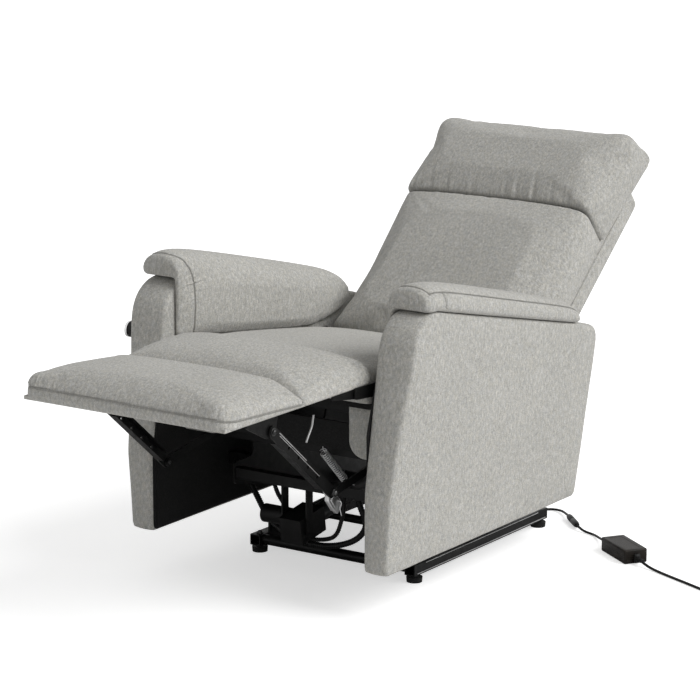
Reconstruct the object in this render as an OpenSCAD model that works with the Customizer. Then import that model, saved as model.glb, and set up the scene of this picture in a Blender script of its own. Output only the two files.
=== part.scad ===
// Power lift recliner chair, shown reclined with its leg rest out. Sizes in millimetres.
// +Z is up, the chair faces -Y, and the origin is on the floor at the middle of its length.

/* [Arms] */
// Width over the two arm panels at their bottom edge
chair_w = 700; // [660:5:760]
// Thickness of an arm panel at its bottom edge
arm_t = 59; // [52:1:66]
// Outward lean of an arm panel between its bottom edge and its top
arm_splay = 30; // [20:1:36]
// Height of the arm panels' bottom edge above the floor
arm_bottom_z = 111; // [104:1:116]
// Height of an arm panel's top line above its front edge
arm_top_z = 697; // [680:1:720]
// Fall of an arm panel's top line from front to rear
arm_top_fall = 177; // [150:1:190]
// Thickness of the arm pad over the panel's top, at the front
pad_t_front = 68; // [56:1:76]
// Thickness of the arm pad over the panel's top, at the rear
pad_t_rear = 46; // [38:1:56]
// Overhang of the arm pad past the panel's outer face
pad_roll = 11; // [6:1:16]
// Thickness of the part of the arm pad that hangs down the inner side
drape_t = 19; // [14:1:22]

/* [Seat] */
// Slope of the seat towards the back, in degrees
seat_slope = 8; // [7:0.5:9]
// Height of the seat cushion's top line, 270 mm in front of the origin
seat_front_z = 555; // [545:1:562]
// Thickness of the seat cushion at its sides
seat_t = 92; // [80:1:98]
// Crown of the seat cushion above its sides
seat_crown = 14; // [8:1:16]
// Thickness of the plywood seat deck
deck_t = 12; // [9:1:15]
// Height of the steel seat rails
seat_rail_h = 26; // [20:1:30]

/* [Back] */
// Lean of the back from the vertical, in degrees
back_lean = 50; // [48:1:52]
// Height of the back from its pivot to the seam under the headrest
lumbar_h = 455; // [430:5:480]
// Height of the headrest cushion
headrest_h = 287; // [260:1:300]
// Thickness of the back cushion at its sides
back_t = 100; // [90:1:108]
// Crown of the back cushion above its sides
back_crown = 19; // [10:1:22]
// Widening of the headrest on each side, from its seam to its top
headrest_flare = 26; // [10:1:30]
// Rounding of the headrest's top edge towards its front
headrest_roll = 76; // [50:2:84]
// Depth of the rear shell behind the back cushion
shell_d = 46; // [40:1:56]
// Wall of the rear shell
shell_wall = 5; // [4:0.5:8]

/* [Leg rest] */
// Length of the leg rest from its hinge line to its toe edge
legrest_reach = 477; // [460:1:480]
// Length of the toe cushion
toe_l = 282; // [260:1:300]
// Thickness of the leg rest cushions at their sides
legrest_t = 20; // [16:1:26]
// Crown of the leg rest cushions above their sides
legrest_crown = 27; // [18:1:32]
// Thickness of the leg rest board
board_t = 8; // [6:0.5:10]

/* [Mechanism] */
// Thickness of the link plates
link_t = 5; // [4:0.5:6]
// Width of the lift links
lift_link_w = 26; // [22:1:28]
// Width of the drive links under the seat
drive_link_w = 18; // [14:1:20]
// Radius of the pivot pins
pin_r = 5; // [4:0.5:6]
// Radial play of a link on its pin
pin_play = 0.06; // [0.02:0.01:0.09]
// Gap between neighbouring link plates
plate_gap = 0.6; // [0.4:0.1:1]
// Side of the square drive tube between the leg rest's links
drive_tube_w = 20; // [16:1:22]

/* [Base] */
// Distance from an arm's outer face in to the middle of the base rail
rail_inset = 132; // [126:1:136]
// Width of a base rail
rail_w = 28; // [24:1:30]
// Height of a base rail
rail_h = 26; // [22:1:30]
// Height of the feet under the rails
foot_h = 18; // [14:1:24]
// Diameter of a foot
foot_d = 38; // [30:1:44]
// Diameter of the base's cross tubes
cross_d = 25; // [20:1:28]

/* [Actuator] */
// Diameter of the lift actuator's outer tube
actuator_d = 42; // [36:1:48]
// Diameter of the lift actuator's rod
rod_d = 20; // [16:1:24]

/* [Control] */
// Diameter of the round control on the right arm
control_d = 38; // [32:1:42]
// Distance that the control stands out from the arm
control_out = 24; // [18:1:26]
// Travel of each button
button_travel = 1.5; // [1:0.1:2]

/* [Power supply] */
// Diameter of the low-voltage lead
dc_d = 6; // [5:0.2:6.6]
// Diameter of the mains lead
mains_d = 6.6; // [5:0.2:7]
// Length of the power adapter
adapter_l = 125; // [110:1:140]
// Width of the power adapter
adapter_w = 59; // [50:1:66]
// Height of the power adapter
adapter_h = 34; // [28:1:40]

/* [Hidden] */

fabric = [0.66, 0.645, 0.62];
lining = [0.09, 0.09, 0.095];
black_steel = [0.11, 0.11, 0.12];
dark_steel = [0.25, 0.25, 0.26];
zinc = [0.72, 0.72, 0.72];
ply = [0.72, 0.58, 0.4];
black_plastic = [0.07, 0.07, 0.075];

soft_gap = 0.3;
seam_gap = 0.3;
eps = 0.01;

// Planes across the chair, from the middle outwards
arm_in = chair_w / 2 - arm_t;
lining_t = 3;
pad_in = arm_in - drape_t;
rail_x = chair_w / 2 - rail_inset;
seat_half_w = pad_in - 6;
back_half_w = pad_in - 10;
shell_half_w = back_half_w + 3;
base_plate_x = rail_x - rail_w / 2 - link_t;
rear_link_x = base_plate_x - plate_gap - link_t - 3;
front_link_x = rear_link_x - plate_gap - link_t - 5;
inner_hanger_x = front_link_x - plate_gap - link_t;
chassis_plate_x = rear_link_x + link_t + plate_gap;
drive_link_x = arm_in - 62;
thrust_link_x = drive_link_x - plate_gap - link_t;
bracket_x = thrust_link_x - plate_gap - link_t;
pivot_bracket_x = drive_link_x + link_t + plate_gap;
seat_rail_x = pivot_bracket_x + link_t;
seat_rail_w = 22;
hinge_arm_x = shell_half_w;
side_plate_x = hinge_arm_x + link_t + plate_gap;
hinge_leaf_x = side_plate_x - plate_gap - link_t;

// Pivots as [y, z]
legrest_hinge = [-400, 513];
thrust_pin = [-650, 473];
elbow_pin = [-432, 292];
drive_pin = legrest_hinge + elbow_pin - thrust_pin;
back_hinge = [262, 462];
front_lift_base = [-58, foot_h + 42];
front_lift_top = [217, foot_h + 58];
rear_lift_base = [0, foot_h + 44];
rear_lift_top = [389, foot_h + 62];

// Base
rail_front_y = -107;
rail_rear_y = 484;
rail_z = foot_h;
cross_z = rail_z + rail_h / 2;
base_plate_y = [front_lift_base[0] - 15, rear_lift_base[0] + 15];
base_plate_h = rear_lift_base[1] + 12 - rail_z;

// Seat, measured down and back from the top line of the cushion
seat_origin = [-270, seat_front_z];
seat_front = -62;
seat_rear = 508;
deck_top = -seat_t - soft_gap;
rail_top = deck_top - deck_t;
function seat_z(y) = seat_front_z - (y - seat_origin[0]) * tan(seat_slope);
function seat_rail_bottom_z(y) = seat_z(y) + (rail_top - seat_rail_h) / cos(seat_slope);

// Leg rest
board_z = legrest_hinge[1] + 8;
toe_y = legrest_hinge[0] - legrest_reach;
toe_seam_y = toe_y + toe_l;
calf_end_y = -336;

// Lift actuator, fixed to the chassis along one straight line
actuator_a = [-200, 115];
actuator_b = [390, 210];
actuator_run = actuator_b - actuator_a;
actuator_angle = atan2(actuator_run[1], actuator_run[0]);
actuator_len = norm(actuator_run);
actuator_x = -30;
motor_r = 30;
motor_l = 120;
tube_from = 70;
tube_to = 470;
clevis_play = 3.2;
clevis_w = 16;
lever_t = 6;

// Control on the outer face of the right arm
control_y = -334;
control_z = 560;

function arm_outer(z) =
    chair_w / 2 + arm_splay * min(1, max(0, (z - arm_bottom_z) / (580 - arm_bottom_z)));

// ---------- Shared geometry ----------

// Arc points that round one corner of a polygon
function corner_arc(a, b, c, r, n) =
    let(
        u = (a - b) / norm(a - b),
        v = (c - b) / norm(c - b),
        half = acos(max(-1, min(1, u * v))) / 2,
        reach = r / tan(half),
        mid = (u + v) / norm(u + v),
        centre = b + mid * r / sin(half),
        p = b + u * reach - centre,
        q = b + v * reach - centre,
        a0 = atan2(p[1], p[0]),
        turn = atan2(p[0] * q[1] - p[1] * q[0], p * q)
    )
    [for (i = [0 : n]) centre + r * [cos(a0 + turn * i / n), sin(a0 + turn * i / n)]];

// Outline with rounded corners: corners are [y, z, radius]
function round_outline(corners, n) =
    let(k = len(corners))
    [for (i = [0 : k - 1])
        let(
            a = corners[(i + k - 1) % k],
            b = corners[i],
            c = corners[(i + 1) % k]
        )
        each corner_arc([a[0], a[1]], [b[0], b[1]], [c[0], c[1]], b[2], n)];

function centre_of(pts) = [for (k = [0 : len(pts[0]) - 1])
    let(v = [for (p = pts) p[k]]) v * [for (p = pts) 1] / len(pts)];

// Triangles of a skin over stacked rings, closed by a fan at each end
function skin_faces(rings, n) = concat(
    [for (r = [0 : rings - 2], i = [0 : n - 1])
        [r * n + i, r * n + (i + 1) % n, (r + 1) * n + i]],
    [for (r = [0 : rings - 2], i = [0 : n - 1])
        [r * n + (i + 1) % n, (r + 1) * n + (i + 1) % n, (r + 1) * n + i]],
    [for (i = [0 : n - 1]) [(i + 1) % n, i, rings * n]],
    [for (i = [0 : n - 1]) [(rings - 1) * n + i, (rings - 1) * n + (i + 1) % n, rings * n + 1]]);

module skin(rings) {
    n = len(rings[0]);
    last = len(rings) - 1;
    points = concat(
        [for (ring = rings) each ring],
        [centre_of(rings[0]), centre_of(rings[last])]);
    polyhedron(points, skin_faces(len(rings), n));
}

// One outline of a cushion: a rounded rectangle drawn in by inset, and by roll at its far end, at height z
function cushion_ring(w, l, r, inset, z, flare, roll, n) =
    let(
        hw = w / 2 - inset,
        rr = max(2, r - inset * 0.5),
        far = l - inset - roll,
        outline = round_outline([[-hw, inset, rr], [hw, inset, rr], [hw, far, rr], [-hw, far, rr]], n)
    )
    [for (p = outline) [p[0] * (1 + 2 * flare * p[1] / l / w), p[1], z]];

// A stuffed cushion: flat base at z = 0, sides drawn in at the seams, crowned top.
// Its far edge rolls back by roll towards the top.
module cushion(w, l, t, crown, r, edge, flare = 0, roll = 0, n = 6) {
    insets = [7, 1.5, 0, 1.5, edge * 0.22, edge * 0.6, edge * 1.3, edge * 2.4, edge * 3.6];
    heights = [
        0, t * 0.14, t * 0.5, t * 0.82, t + crown * 0.1, t + crown * 0.45, t + crown * 0.75,
        t + crown * 0.94, t + crown];
    skin([for (i = [0 : len(insets) - 1])
        cushion_ring(w, l, r, insets[i], heights[i], flare, roll * pow(heights[i] / (t + crown), 2), n)]);
}

// Points along a smooth curve through the route's own points
function smooth_at(p, i, t) =
    let(
        k = len(p) - 1,
        a = p[max(i - 1, 0)],
        b = p[i],
        c = p[min(i + 1, k)],
        d = p[min(i + 2, k)]
    )
    0.5 * (2 * b + (c - a) * t + (2 * a - 5 * b + 4 * c - d) * t * t
        + (3 * b - a - 3 * c + d) * t * t * t);

function smooth(p, n) = concat(
    [for (i = [0 : len(p) - 2], s = [0 : n - 1]) smooth_at(p, i, s / n)],
    [p[len(p) - 1]]);

// A smooth route whose first and last stretches stay straight
function led(p, n) = concat([p[0]], smooth([for (i = [1 : len(p) - 2]) p[i]], n), [p[len(p) - 1]]);

function unit(v) = v / norm(v);

// Directions along a route, square to its ends
function headings(p) =
    let(k = len(p) - 1)
    [for (i = [0 : k]) unit(p[min(i + 1, k)] - p[max(i - 1, 0)])];

// Side vectors carried along a route without twisting
function carried(h, i = 0, side = [0, 0, 1]) =
    let(s = unit(side - h[i] * (side * h[i])))
    i == len(h) - 1 ? [s] : concat([s], carried(h, i + 1, s));

// Tube swept along a route
module tube_along(route, d, sides) {
    h = headings(route);
    s = carried(h, 0, abs(h[0][2]) > 0.9 ? [0, 1, 0] : [0, 0, 1]);
    skin([for (i = [0 : len(route) - 1])
        [for (k = [0 : sides - 1])
            let(a = 360 * (k + 0.5) / sides)
            route[i] + d / 2 * (s[i] * cos(a) + cross(h[i], s[i]) * sin(a))]]);
}

module mirrored_pair() {
    children();
    mirror([1, 0, 0]) children();
}

// Flat plate in a plane across the chair, drawn as [y, z], from x to x + t
module side_sheet(x, t) {
    translate([x, 0, 0])
        rotate([90, 0, 90])
            linear_extrude(t) children();
}

module at_yz(p) {
    translate([p[0], p[1]]) children();
}

// Straight bar with round ends, drawn as [y, z]; its long edges lie just inside the ends' width
module bar_outline(a, b, w) {
    d = b - a;
    straight_w = w - 0.2;
    at_yz(a) circle(w / 2, $fn = 48);
    at_yz(b) circle(w / 2, $fn = 48);
    at_yz(a)
        rotate(atan2(d[1], d[0]))
            translate([0, -straight_w / 2]) square([norm(d), straight_w]);
}

// Pin or tube along X
module across(p, x, l, r) {
    translate([x, p[0], p[1]])
        rotate([0, 90, 0]) cylinder(l, r, r, $fn = 48);
}

module in_seat_frame() {
    translate([0, seat_origin[0], seat_origin[1]])
        rotate([-seat_slope, 0, 0]) children();
}

// Back frame: local y runs up the back, local z points to the sitter
module in_back_frame() {
    translate([0, back_hinge[0], back_hinge[1]])
        rotate([90 - back_lean, 0, 0]) children();
}

// ---------- Base ----------

module base_rail() {
    color(black_steel)
        difference() {
            union() {
                translate([rail_x - rail_w / 2, rail_front_y, rail_z])
                    cube([rail_w, rail_rear_y - rail_front_y, rail_h]);
                side_sheet(base_plate_x, link_t)
                    difference() {
                        translate([base_plate_y[0], rail_z + 2])
                            square([base_plate_y[1] - base_plate_y[0], base_plate_h]);
                        at_yz(front_lift_base) circle(pin_r, $fn = 48);
                        at_yz(rear_lift_base) circle(pin_r, $fn = 48);
                    }
            }
            translate([rail_x - rail_w / 2 + 2.5, rail_front_y - 1, rail_z + 2.5])
                cube([rail_w - 5, rail_rear_y - rail_front_y + 2, rail_h - 5]);
        }
}

module base_rail_left() { base_rail(); }

module base_rail_right() { mirror([1, 0, 0]) base_rail(); }

module base_cross(y) {
    half = rail_x - rail_w / 2;
    color(black_steel) across([y, cross_z], -half, 2 * half, cross_d / 2);
}

module base_cross_front() { base_cross(rail_front_y + 20); }

module base_cross_rear() { base_cross(rail_rear_y - 14); }

module base_feet() {
    color(black_plastic)
        for (x = [-rail_x, rail_x], y = [rail_front_y + 20, rail_rear_y - 20])
            translate([x, y, 0]) {
                cylinder(foot_h - 6, foot_d / 2 - 1, foot_d / 2, $fn = 48);
                translate([0, 0, foot_h - 6]) cylinder(6, 8, 8, $fn = 32);
            }
}

// Pins welded into the base plates; each carries a lift link
module base_pivot_pins() {
    color(zinc)
        mirrored_pair() {
            across(rear_lift_base, rear_link_x - 2, base_plate_x + link_t - rear_link_x + 2, pin_r);
            across(front_lift_base, front_link_x - 2, base_plate_x + link_t - front_link_x + 2, pin_r);
        }
}

// ---------- Lift links ----------

module lift_link(a, b, x) {
    side_sheet(x, link_t)
        difference() {
            bar_outline(a, b, lift_link_w);
            at_yz(a) circle(pin_r + pin_play, $fn = 48);
            at_yz(b) circle(pin_r + pin_play, $fn = 48);
        }
}

lever_tube_y = 345;
lever_tube_rise = (rear_lift_top[1] - rear_lift_base[1]) / rear_lift_top[0];
lever_tube = [lever_tube_y, rear_lift_base[1] + lever_tube_rise * lever_tube_y];
lever_tube_r = 11;
lever_x = clevis_w / 2 + 1 + lever_t / 2;

module rear_lift_links() {
    color(black_steel) {
        mirrored_pair() lift_link(rear_lift_base, rear_lift_top, rear_link_x);
        across(lever_tube, -rear_link_x - link_t / 2, 2 * rear_link_x + link_t, lever_tube_r);
        for (side = [-1, 1])
            side_sheet(actuator_x + side * lever_x - lever_t / 2, lever_t)
                difference() {
                    bar_outline(lever_tube, actuator_b, 26);
                    at_yz(actuator_b) circle(pin_r + clevis_play, $fn = 48);
                }
    }
}

module front_lift_links() {
    color(black_steel) {
        mirrored_pair()
            side_sheet(front_link_x, link_t)
                difference() {
                    bar_outline(front_lift_base, front_lift_top, lift_link_w);
                    at_yz(front_lift_base) circle(pin_r + pin_play, $fn = 48);
                    at_yz(front_lift_top) circle(pin_r + 2, $fn = 48);
                }
        across([70, 67], -front_link_x - link_t / 2, 2 * front_link_x + link_t, 10);
    }
}

// ---------- Chassis ----------

chassis_tube = [front_lift_top[0], front_lift_top[1] + 46];
bracket_tube_ys = [-100, 262];
bracket_tube_z = 210;

// Side plate between the seat rails and the lift links
module chassis_plate() {
    color(black_steel)
        side_sheet(chassis_plate_x, link_t)
            difference() {
                polygon(round_outline([
                    [-215, 196, 12],
                    [chassis_tube[0] - 30, 100, 30],
                    [rear_lift_top[0] - 26, rear_lift_top[1] - 14, 14],
                    [rear_lift_top[0] + 20, rear_lift_top[1] - 14, 14],
                    [rear_lift_top[0] + 20, rear_lift_top[1] + 60, 20],
                    [300, 240, 30],
                    [235, seat_rail_bottom_z(235), 4],
                    [180, seat_rail_bottom_z(180), 4],
                    [150, 270, 20],
                    [-40, 270, 20],
                    [-70, seat_rail_bottom_z(-70), 4],
                    [-140, seat_rail_bottom_z(-140), 4],
                    [-140, 248, 20],
                    [-215, 248, 8]], 6));
                at_yz(rear_lift_top) circle(pin_r, $fn = 48);
            }
}

module chassis_plate_left() { chassis_plate(); }

module chassis_plate_right() { mirror([1, 0, 0]) chassis_plate(); }

// Cross tube with the inner hangers that carry the front lift links
module chassis_cross_tube() {
    color(black_steel) {
        across(chassis_tube, -chassis_plate_x, 2 * chassis_plate_x, 12.5);
        mirrored_pair()
            side_sheet(inner_hanger_x, link_t)
                difference() {
                    bar_outline(chassis_tube, front_lift_top, 28);
                    at_yz(front_lift_top) circle(pin_r, $fn = 48);
                }
    }
}

module lift_pivot_pins() {
    color(zinc)
        mirrored_pair() {
            across(rear_lift_top, rear_link_x - 2, chassis_plate_x + link_t - rear_link_x + 2, pin_r);
            across(front_lift_top, inner_hanger_x, front_link_x + link_t + 2 - inner_hanger_x, pin_r);
        }
}

// Tubes from the chassis plates out to the arm panels, and one to carry the motor
module arm_brackets() {
    color(black_steel) {
        mirrored_pair()
            for (y = bracket_tube_ys)
                translate([chassis_plate_x + link_t, y - 14, bracket_tube_z])
                    cube([arm_in - lining_t - chassis_plate_x - link_t, 28, 28]);
        translate([-chassis_plate_x, actuator_a[0] - 12, bracket_tube_z])
            cube([2 * chassis_plate_x, 24, 24]);
        for (side = [-1, 1])
            side_sheet(actuator_x + side * (motor_r + 4) - 2, 4)
                polygon([
                    [actuator_a[0] - 12, bracket_tube_z],
                    [actuator_a[0] + 12, bracket_tube_z],
                    [actuator_a[0] + 12, actuator_a[1] - 12],
                    [actuator_a[0] - 12, actuator_a[1] - 12]]);
    }
}

// Upholstered rail that joins the two arms at the back
module rear_rail() {
    half = arm_in - soft_gap;
    color(lining) translate([-half, rear_lift_top[0] + 21, 185]) cube([2 * half, 10, 80]);
}

// Distances of the seat's cross rails down the slope
seat_cross_ys = [45, 150, 465];

module seat_rails() {
    color(black_steel)
        in_seat_frame() {
            mirrored_pair()
                translate([seat_rail_x, 40, rail_top - seat_rail_h])
                    cube([seat_rail_w, 468, seat_rail_h]);
            for (y = seat_cross_ys)
                translate([-seat_rail_x, y, rail_top - seat_rail_h])
                    cube([2 * seat_rail_x, 24, seat_rail_h]);
        }
}

module seat_deck() {
    color(ply)
        in_seat_frame()
            translate([-seat_half_w + 4, -40, rail_top])
                cube([2 * (seat_half_w - 4), 545, deck_t]);
}

module seat_cushion() {
    color(fabric)
        in_seat_frame()
            translate([0, seat_front, -seat_t])
                cushion(2 * seat_half_w, seat_rear - seat_front, seat_t - 2, seat_crown, 34, 24);
}

// Side plate that carries the leg rest hinge at its front end and the back hinge at its rear
module side_plate() {
    rear = back_hinge;
    front = legrest_hinge;
    color(black_steel)
        difference() {
            union() {
                side_sheet(side_plate_x, link_t)
                    difference() {
                        polygon(round_outline([
                            [front[0] - 13, front[1] - 13, 8],
                            [-236, 486, 6],
                            [-236, seat_z(-236) - 140, 10],
                            [rear[0] + 12, seat_z(rear[0]) - 128, 10],
                            [rear[0] + 12, rear[1] + 12, 8],
                            [rear[0] - 14, rear[1] + 12, 8],
                            [rear[0] - 40, seat_z(rear[0] - 40) - 80, 20],
                            [-190, seat_z(-190) - 80, 20],
                            [-204, front[1] + 12, 8],
                            [front[0] - 13, front[1] + 12, 8]], 6));
                        at_yz(rear) circle(pin_r, $fn = 48);
                        at_yz(front) circle(pin_r, $fn = 48);
                    }
                // spacers out from the seat rail
                for (y = [80, 420])
                    in_seat_frame()
                        translate([seat_rail_x + seat_rail_w, y, rail_top - seat_rail_h + 3])
                            cube([side_plate_x - seat_rail_x - seat_rail_w, 30, seat_rail_h - 6]);
                across(rear, hinge_leaf_x - 1, side_plate_x + link_t - hinge_leaf_x + 1, pin_r);
                across(front, hinge_leaf_x - 1, side_plate_x + link_t - hinge_leaf_x + 1, pin_r);
            }
        }
}

module side_plate_left() { side_plate(); }

module side_plate_right() { mirror([1, 0, 0]) side_plate(); }

// Fabric-covered corner pieces below the seat's front edge
apron_y = -284;
apron_t = 10;
apron_bottom_z = 329;
apron_top_z = seat_z(apron_y + apron_t) + rail_top / cos(seat_slope) - soft_gap;
apron_split_x = arm_in - 121;

module front_apron() {
    color(fabric)
        mirrored_pair()
            translate([0, apron_y + apron_t, 0])
                rotate([90, 0, 0])
                    linear_extrude(apron_t)
                        polygon(round_outline([
                            [apron_split_x, apron_bottom_z, 40],
                            [arm_in - lining_t - 1, apron_bottom_z, 2],
                            [arm_in - lining_t - 1, apron_top_z, 2],
                            [apron_split_x, apron_top_z, 2]], 6));
}

// Black cloth panel between the corner pieces, on a cross board
module front_panel() {
    color(lining)
        translate([-seat_half_w + 20, apron_y + apron_t, apron_bottom_z + 12])
            cube([2 * (seat_half_w - 20), 8, 62]);
}

// ---------- Arms ----------

function arm_profile(n) = round_outline([
    [-404, arm_bottom_z, 12],
    [-404, 290, 220],
    [-334, arm_top_z, 128],
    [465, arm_top_z - arm_top_fall, 42],
    [457, 430, 150],
    [410, arm_bottom_z, 14]], n);

// The profile drawn in towards its middle by an inset
function drawn_in(profile, inset) =
    let(c = centre_of(profile))
    [for (p = profile)
        let(d = p - c)
        c + d * (1 - inset / norm(d))];

function arm_ring(inset, share, out) = [for (p = drawn_in(arm_profile(6), inset))
    [arm_in + (arm_outer(p[1]) - arm_in) * share + out, p[0], p[1]]];

// Padded panel with rounded rims, leaning outwards towards its top
module arm_panel() {
    color(fabric)
        skin([
            arm_ring(7, 0, 0),
            arm_ring(1.5, 0.04, 0),
            arm_ring(0, 0.16, 0),
            arm_ring(0, 0.74, 0),
            arm_ring(2, 0.9, 0),
            arm_ring(7, 0.985, 0),
            arm_ring(26, 1, 1.5),
            arm_ring(80, 1, 3)]);
}

module arm_panel_left() { arm_panel(); }

module arm_panel_right() { mirror([1, 0, 0]) arm_panel(); }

// Black cloth over the inner side of the arm, below the seat line
module arm_lining() {
    color(lining)
        side_sheet(arm_in - lining_t, lining_t)
            polygon(round_outline([
                [-388, arm_bottom_z + 8, 4],
                [-372, arm_bottom_z + 8, 4],
                [-318, 136, 40],
                [395, 136, 8],
                [420, 420, 20],
                [back_hinge[0], seat_z(back_hinge[0]) - 24, 20],
                [-350, seat_z(-350) - 24, 20],
                [-388, 420, 20]], 6));
}

module arm_lining_left() { arm_lining(); }

module arm_lining_right() { mirror([1, 0, 0]) arm_lining(); }

// Arm pad: a J-shaped cushion over the top of the panel and down its inner side
pad_front = [-272, -331];
pad_rear_y = 376;
arm_top_slope = arm_top_fall / 799;
pad_steps = 14;

function arm_top(y) = arm_top_z - (y + 334) * arm_top_slope;
function pad_t(s) = pad_t_front + (pad_t_rear - pad_t_front) * s;
function swell(s) = sqrt(max(0, 1 - pow(abs(2 * s - 1), 9)));

// Outer line of the pad's cross-section at share s of its length, from the inner hem over the top
function pad_outer(s, y, hem) =
    let(
        top = arm_top(y),
        t = pad_t(s) * (0.62 + 0.38 * swell(s)),
        full = swell(s),
        xo = arm_outer(top) + 2 + pad_roll * full,
        xi = pad_in + (1 - full) * 5,
        mid = (xi + xo) / 2
    )
    [
        [xi + 5, hem], [xi, hem + 12], [xi, (hem + top) / 2], [xi + 1, top - 4],
        [xi + 7, top + t * 0.52], [xi + 24, top + t * 0.86], [mid, top + t],
        [xo - 32, top + t * 0.9], [xo - 10, top + t * 0.62], [xo, top + t * 0.2],
        [xo - 1, top - 14], [xo - 5, top - 22]];

// Inner line of the same cross-section, clear of the panel
function pad_inner(s, y, hem) =
    let(
        top = arm_top(y) + 1.2,
        xs = arm_in - soft_gap,
        xo = arm_outer(top) + 1.2,
        mid = (xs + xo) / 2
    )
    [
        [xs, hem + 2], [xs, hem + 12], [xs, (hem + top) / 2], [xs, top - 4],
        [xs, top], [xs + 12, top], [mid, top],
        [xo - 16, top], [xo - 4, top], [xo, top - 3],
        [xo + 2, top - 14], [xo + 2, top - 20]];

function pad_ring(s) =
    let(
        lean = pad_front[1] - pad_front[0],
        y = pad_front[0] + (pad_rear_y - pad_front[0]) * s,
        front_share = pow(1 - s, 3),
        hem = max(seat_z(y) - 10, 476) + 40 * pow(s, 8),
        outer = pad_outer(s, y, hem),
        inner = pad_inner(s, y, hem),
        ring = concat(outer, [for (i = [len(inner) - 1 : -1 : 0]) inner[i]])
    )
    [for (p = ring)
        [p[0], y + lean * front_share * max(0, min(1, (arm_top(y) - p[1]) / 120)), p[1]]];

function strip_caps(k, base, flip) = [for (i = [0 : k - 2], half = [0, 1])
    let(
        a = base + i,
        b = base + i + 1,
        c = base + 2 * k - 2 - i,
        d = base + 2 * k - 1 - i,
        tri = half == 0 ? [a, b, c] : [a, c, d]
    )
    flip ? [tri[2], tri[1], tri[0]] : tri];

module arm_pad() {
    rings = [for (i = [0 : pad_steps]) pad_ring(0.5 - 0.5 * cos(180 * i / pad_steps))];
    n = len(rings[0]);
    last = pad_steps * n;
    sides = [for (r = [0 : pad_steps - 1], i = [0 : n - 1], half = [0, 1])
        let(
            a = r * n + i,
            b = r * n + (i + 1) % n,
            c = (r + 1) * n + (i + 1) % n,
            d = (r + 1) * n + i
        )
        half == 0 ? [a, b, d] : [b, c, d]];
    color(fabric)
        polyhedron(
            [for (ring = rings) each ring],
            concat(sides, strip_caps(n / 2, 0, true), strip_caps(n / 2, last, false)));
}

module arm_pad_left() { arm_pad(); }

module arm_pad_right() { mirror([1, 0, 0]) arm_pad(); }

// ---------- Leg rest ----------

module legrest_pivot_brackets() {
    p = drive_pin;
    color(black_steel)
        mirrored_pair() {
            side_sheet(pivot_bracket_x, link_t)
                difference() {
                    polygon(round_outline([
                        [p[0] - 14, p[1] - 14, 12],
                        [p[0] + 14, p[1] - 14, 12],
                        [p[0] + 22, seat_rail_bottom_z(p[0] + 22) + 18, 3],
                        [p[0] - 22, seat_rail_bottom_z(p[0] - 22) + 18, 3]], 6));
                    at_yz(p) circle(pin_r, $fn = 48);
                }
            across(p, drive_link_x - 1, pivot_bracket_x + link_t - drive_link_x + 1, pin_r);
        }
}

// Link from the drive tube down to the elbow, with the elbow pin
module drive_link() {
    color(dark_steel) {
        side_sheet(drive_link_x, link_t)
            difference() {
                bar_outline(drive_pin, elbow_pin, drive_link_w);
                at_yz(drive_pin) circle(pin_r + pin_play, $fn = 48);
            }
        across(elbow_pin, thrust_link_x - 3, drive_link_x + link_t / 2 - thrust_link_x + 3, pin_r);
        across(elbow_pin, thrust_link_x - 3 - 4, 4, pin_r + 4);
    }
}

module drive_link_left() { drive_link(); }

module drive_link_right() { mirror([1, 0, 0]) drive_link(); }

// Square tube that makes the two drive links turn together
module drive_tube() {
    d = unit(elbow_pin - drive_pin);
    at = drive_pin + d * 46;
    color(black_steel)
        translate([0, at[0], at[1]])
            rotate([atan2(d[1], d[0]), 0, 0])
                translate([-drive_link_x, -drive_tube_w / 2, -drive_tube_w / 2])
                    cube([2 * drive_link_x, drive_tube_w, drive_tube_w]);
}

// Lightening holes along a thrust link, as shares of its length
thrust_holes = [0.26, 0.42, 0.58, 0.74];
thrust_hole_r = 4;

// Wide channel from the elbow up to the leg rest
module thrust_link() {
    d = thrust_pin - elbow_pin;
    color(dark_steel)
        difference() {
            union() {
                side_sheet(thrust_link_x, link_t) bar_outline(elbow_pin, thrust_pin, 26);
                for (side = [-1, 1])
                    translate([thrust_link_x - 16 + eps, elbow_pin[0], elbow_pin[1]])
                        rotate([atan2(d[1], d[0]), 0, 0])
                            translate([0, 34, side * 11.5 - 1.5]) cube([16, norm(d) - 68, 3]);
            }
            across(elbow_pin, thrust_link_x - 1, link_t + 2, pin_r + pin_play);
            across(thrust_pin, thrust_link_x - 1, link_t + 2, pin_r + 0.6);
            for (share = thrust_holes)
                across(elbow_pin + d * share, thrust_link_x - 1, link_t + 2, thrust_hole_r);
        }
}

module thrust_link_left() { thrust_link(); }

module thrust_link_right() { mirror([1, 0, 0]) thrust_link(); }

// Brackets under the board: the front pair takes the thrust links, the rear pair the hinges
module legrest_brackets() {
    p = thrust_pin;
    h = legrest_hinge;
    color(dark_steel)
        mirrored_pair() {
            side_sheet(bracket_x, link_t)
                polygon(round_outline([
                    [p[0] - 85, board_z - 26, 10],
                    [p[0] - 14, p[1] - 14, 12],
                    [p[0] + 14, p[1] - 14, 12],
                    [p[0] + 30, board_z, 2],
                    [p[0] - 90, board_z, 2]], 6));
            translate([bracket_x - 22, p[0] - 90, board_z - 3]) cube([22 + eps, 120, 3]);
            across(p, bracket_x, thrust_link_x + link_t + 2 - bracket_x, pin_r);
            side_sheet(hinge_leaf_x, link_t)
                difference() {
                    polygon(round_outline([
                        [h[0] - 90, board_z - 8, 3],
                        [h[0] - 12, h[1] - 12, 6],
                        [h[0] + 8, h[1] - 12, 6],
                        [h[0] + 8, board_z, 2],
                        [h[0] - 90, board_z, 2]], 6));
                    at_yz(h) circle(pin_r + pin_play, $fn = 48);
                }
        }
}

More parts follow.
